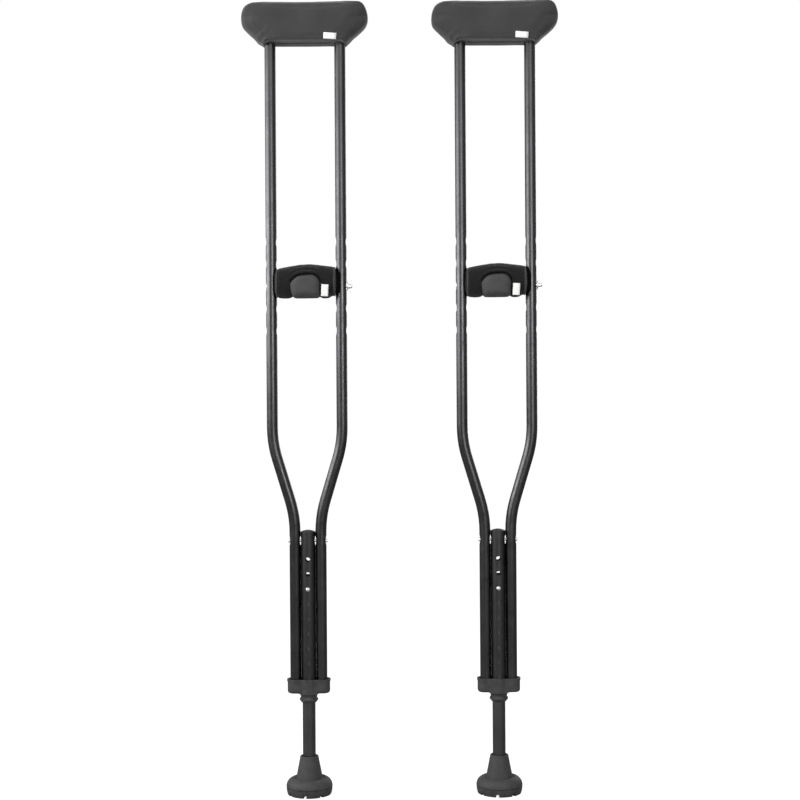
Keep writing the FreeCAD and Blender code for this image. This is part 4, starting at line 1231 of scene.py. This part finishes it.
# name, turn in degrees from the front, distance, lower edge, upper edge, width, radiance
SOFT_BOXES = (
    ("left_low", -76, 2.1, 0.86, 1.28, 2.8, 9.0),
    ("left_high", -76, 2.1, 1.28, 1.75, 2.8, 5.0),
    ("right_low", 21, 2.1, 0.72, 1.12, 1.1, 8.0),
    ("right_high", 21, 2.1, 1.12, 1.60, 1.1, 3.0),
    ("front_low", -3, 3.3, 1.40, 1.85, 5.0, 0.7),
    ("front_high", -3, 3.3, 1.85, 2.90, 5.0, 1.4),
    ("back_strip", 150, 2.4, 0.5, 1.8, 0.8, 3.0),
)
OVERHEAD_SIZE = (2.2, 1.2)
OVERHEAD_PLACE = (-0.4, -1.5, 2.9)
OVERHEAD_TILT = math.radians(35)
OVERHEAD_RADIANCE = 1.6
WHITE = (1.0, 1.0, 1.0, 1.0)
AMBIENT = 0.46
FLOOR_GLOW = 0.86
FLOOR_REACH = 40
FLOOR_DROP = 0.2 * MM            # so that it does not lie in the tips' soles


def make_camera():
    data = bpy.data.cameras.new("camera")
    data.sensor_width = SENSOR_WIDTH
    data.lens = data.sensor_width * CAMERA_DISTANCE / VIEW_HEIGHT
    camera = new_object("camera", data)
    camera.location = (CAMERA_ASIDE, -CAMERA_DISTANCE, CAMERA_HEIGHT)
    camera.rotation_euler = (math.pi / 2, CAMERA_ROLL, 0.0)
    bpy.context.scene.camera = camera


def area_light(name, width, height, radiance, place, turns):
    """A rectangular light whose power follows from its size and its radiance."""
    data = bpy.data.lights.new(name, "AREA")
    data.shape = "RECTANGLE"
    data.size = width
    data.size_y = height
    data.energy = radiance * math.pi * width * height
    light = new_object(name, data)
    light.location = place
    light.rotation_euler = turns


def soft_box(name, turn, distance, low_z, high_z, width, radiance):
    """An upright strip light, turned about the crutches from the front by so many degrees."""
    angle = math.radians(turn)
    place = (distance * math.sin(angle), -distance * math.cos(angle), (low_z + high_z) / 2)
    area_light(name, width, high_z - low_z, radiance, place, (math.pi / 2, 0.0, angle))


def seen_or_lighting(tree, seen, lighting):
    """A shader that looks one way to the camera and lights the scene another way."""
    path = tree.nodes.new("ShaderNodeLightPath")
    mix = tree.nodes.new("ShaderNodeMixShader")
    tree.links.new(path.outputs["Is Camera Ray"], mix.inputs[0])
    tree.links.new(lighting, mix.inputs[1])
    tree.links.new(seen, mix.inputs[2])
    return mix.outputs[0]


def make_light():
    """A white backdrop, dim surroundings, strip lights round the crutches and a broad one above."""
    world = bpy.data.worlds.new("studio")
    world.use_nodes = True
    tree = world.node_tree
    backdrop = tree.nodes["Background"]
    surroundings = tree.nodes.new("ShaderNodeBackground")
    for node, strength in ((backdrop, 1.0), (surroundings, AMBIENT)):
        node.inputs["Color"].default_value = WHITE
        node.inputs["Strength"].default_value = strength
    shader = seen_or_lighting(tree, backdrop.outputs[0], surroundings.outputs[0])
    tree.links.new(shader, tree.nodes["World Output"].inputs["Surface"])
    bpy.context.scene.world = world
    for row in SOFT_BOXES:
        soft_box(*row)
    area_light("overhead", *OVERHEAD_SIZE, OVERHEAD_RADIANCE, OVERHEAD_PLACE, (OVERHEAD_TILT, 0.0, 0.0))


def make_floor():
    """A floor that the camera sees glowing white, and that lights the scene as plain grey."""
    corners = [(x * FLOOR_REACH, y * FLOOR_REACH, 0) for x, y in ((-1, -1), (1, -1), (1, 1), (-1, 1))]
    floor = make_object("floor", corners, [(0, 1, 2, 3)], smooth=False)
    recipe = Recipe("floor_white", (0.30, 0.30, 0.30), 0.9)
    recipe.vary_colour(recipe.noise(3.0, 2.0), 0.99, 1.01)
    tree = recipe.tree
    glow = tree.nodes.new("ShaderNodeEmission")
    glow.inputs["Strength"].default_value = FLOOR_GLOW
    lit = tree.nodes.new("ShaderNodeAddShader")
    tree.links.new(glow.outputs[0], lit.inputs[0])
    tree.links.new(recipe.shader.outputs[0], lit.inputs[1])
    shader = seen_or_lighting(tree, lit.outputs[0], recipe.shader.outputs[0])
    tree.links.new(shader, tree.nodes["Material Output"].inputs["Surface"])
    floor.data.materials.append(recipe.done())
    floor.location.z = -FLOOR_DROP


make_camera()
make_light()
make_floor()
bpy.context.scene.view_settings.view_transform = "Standard"
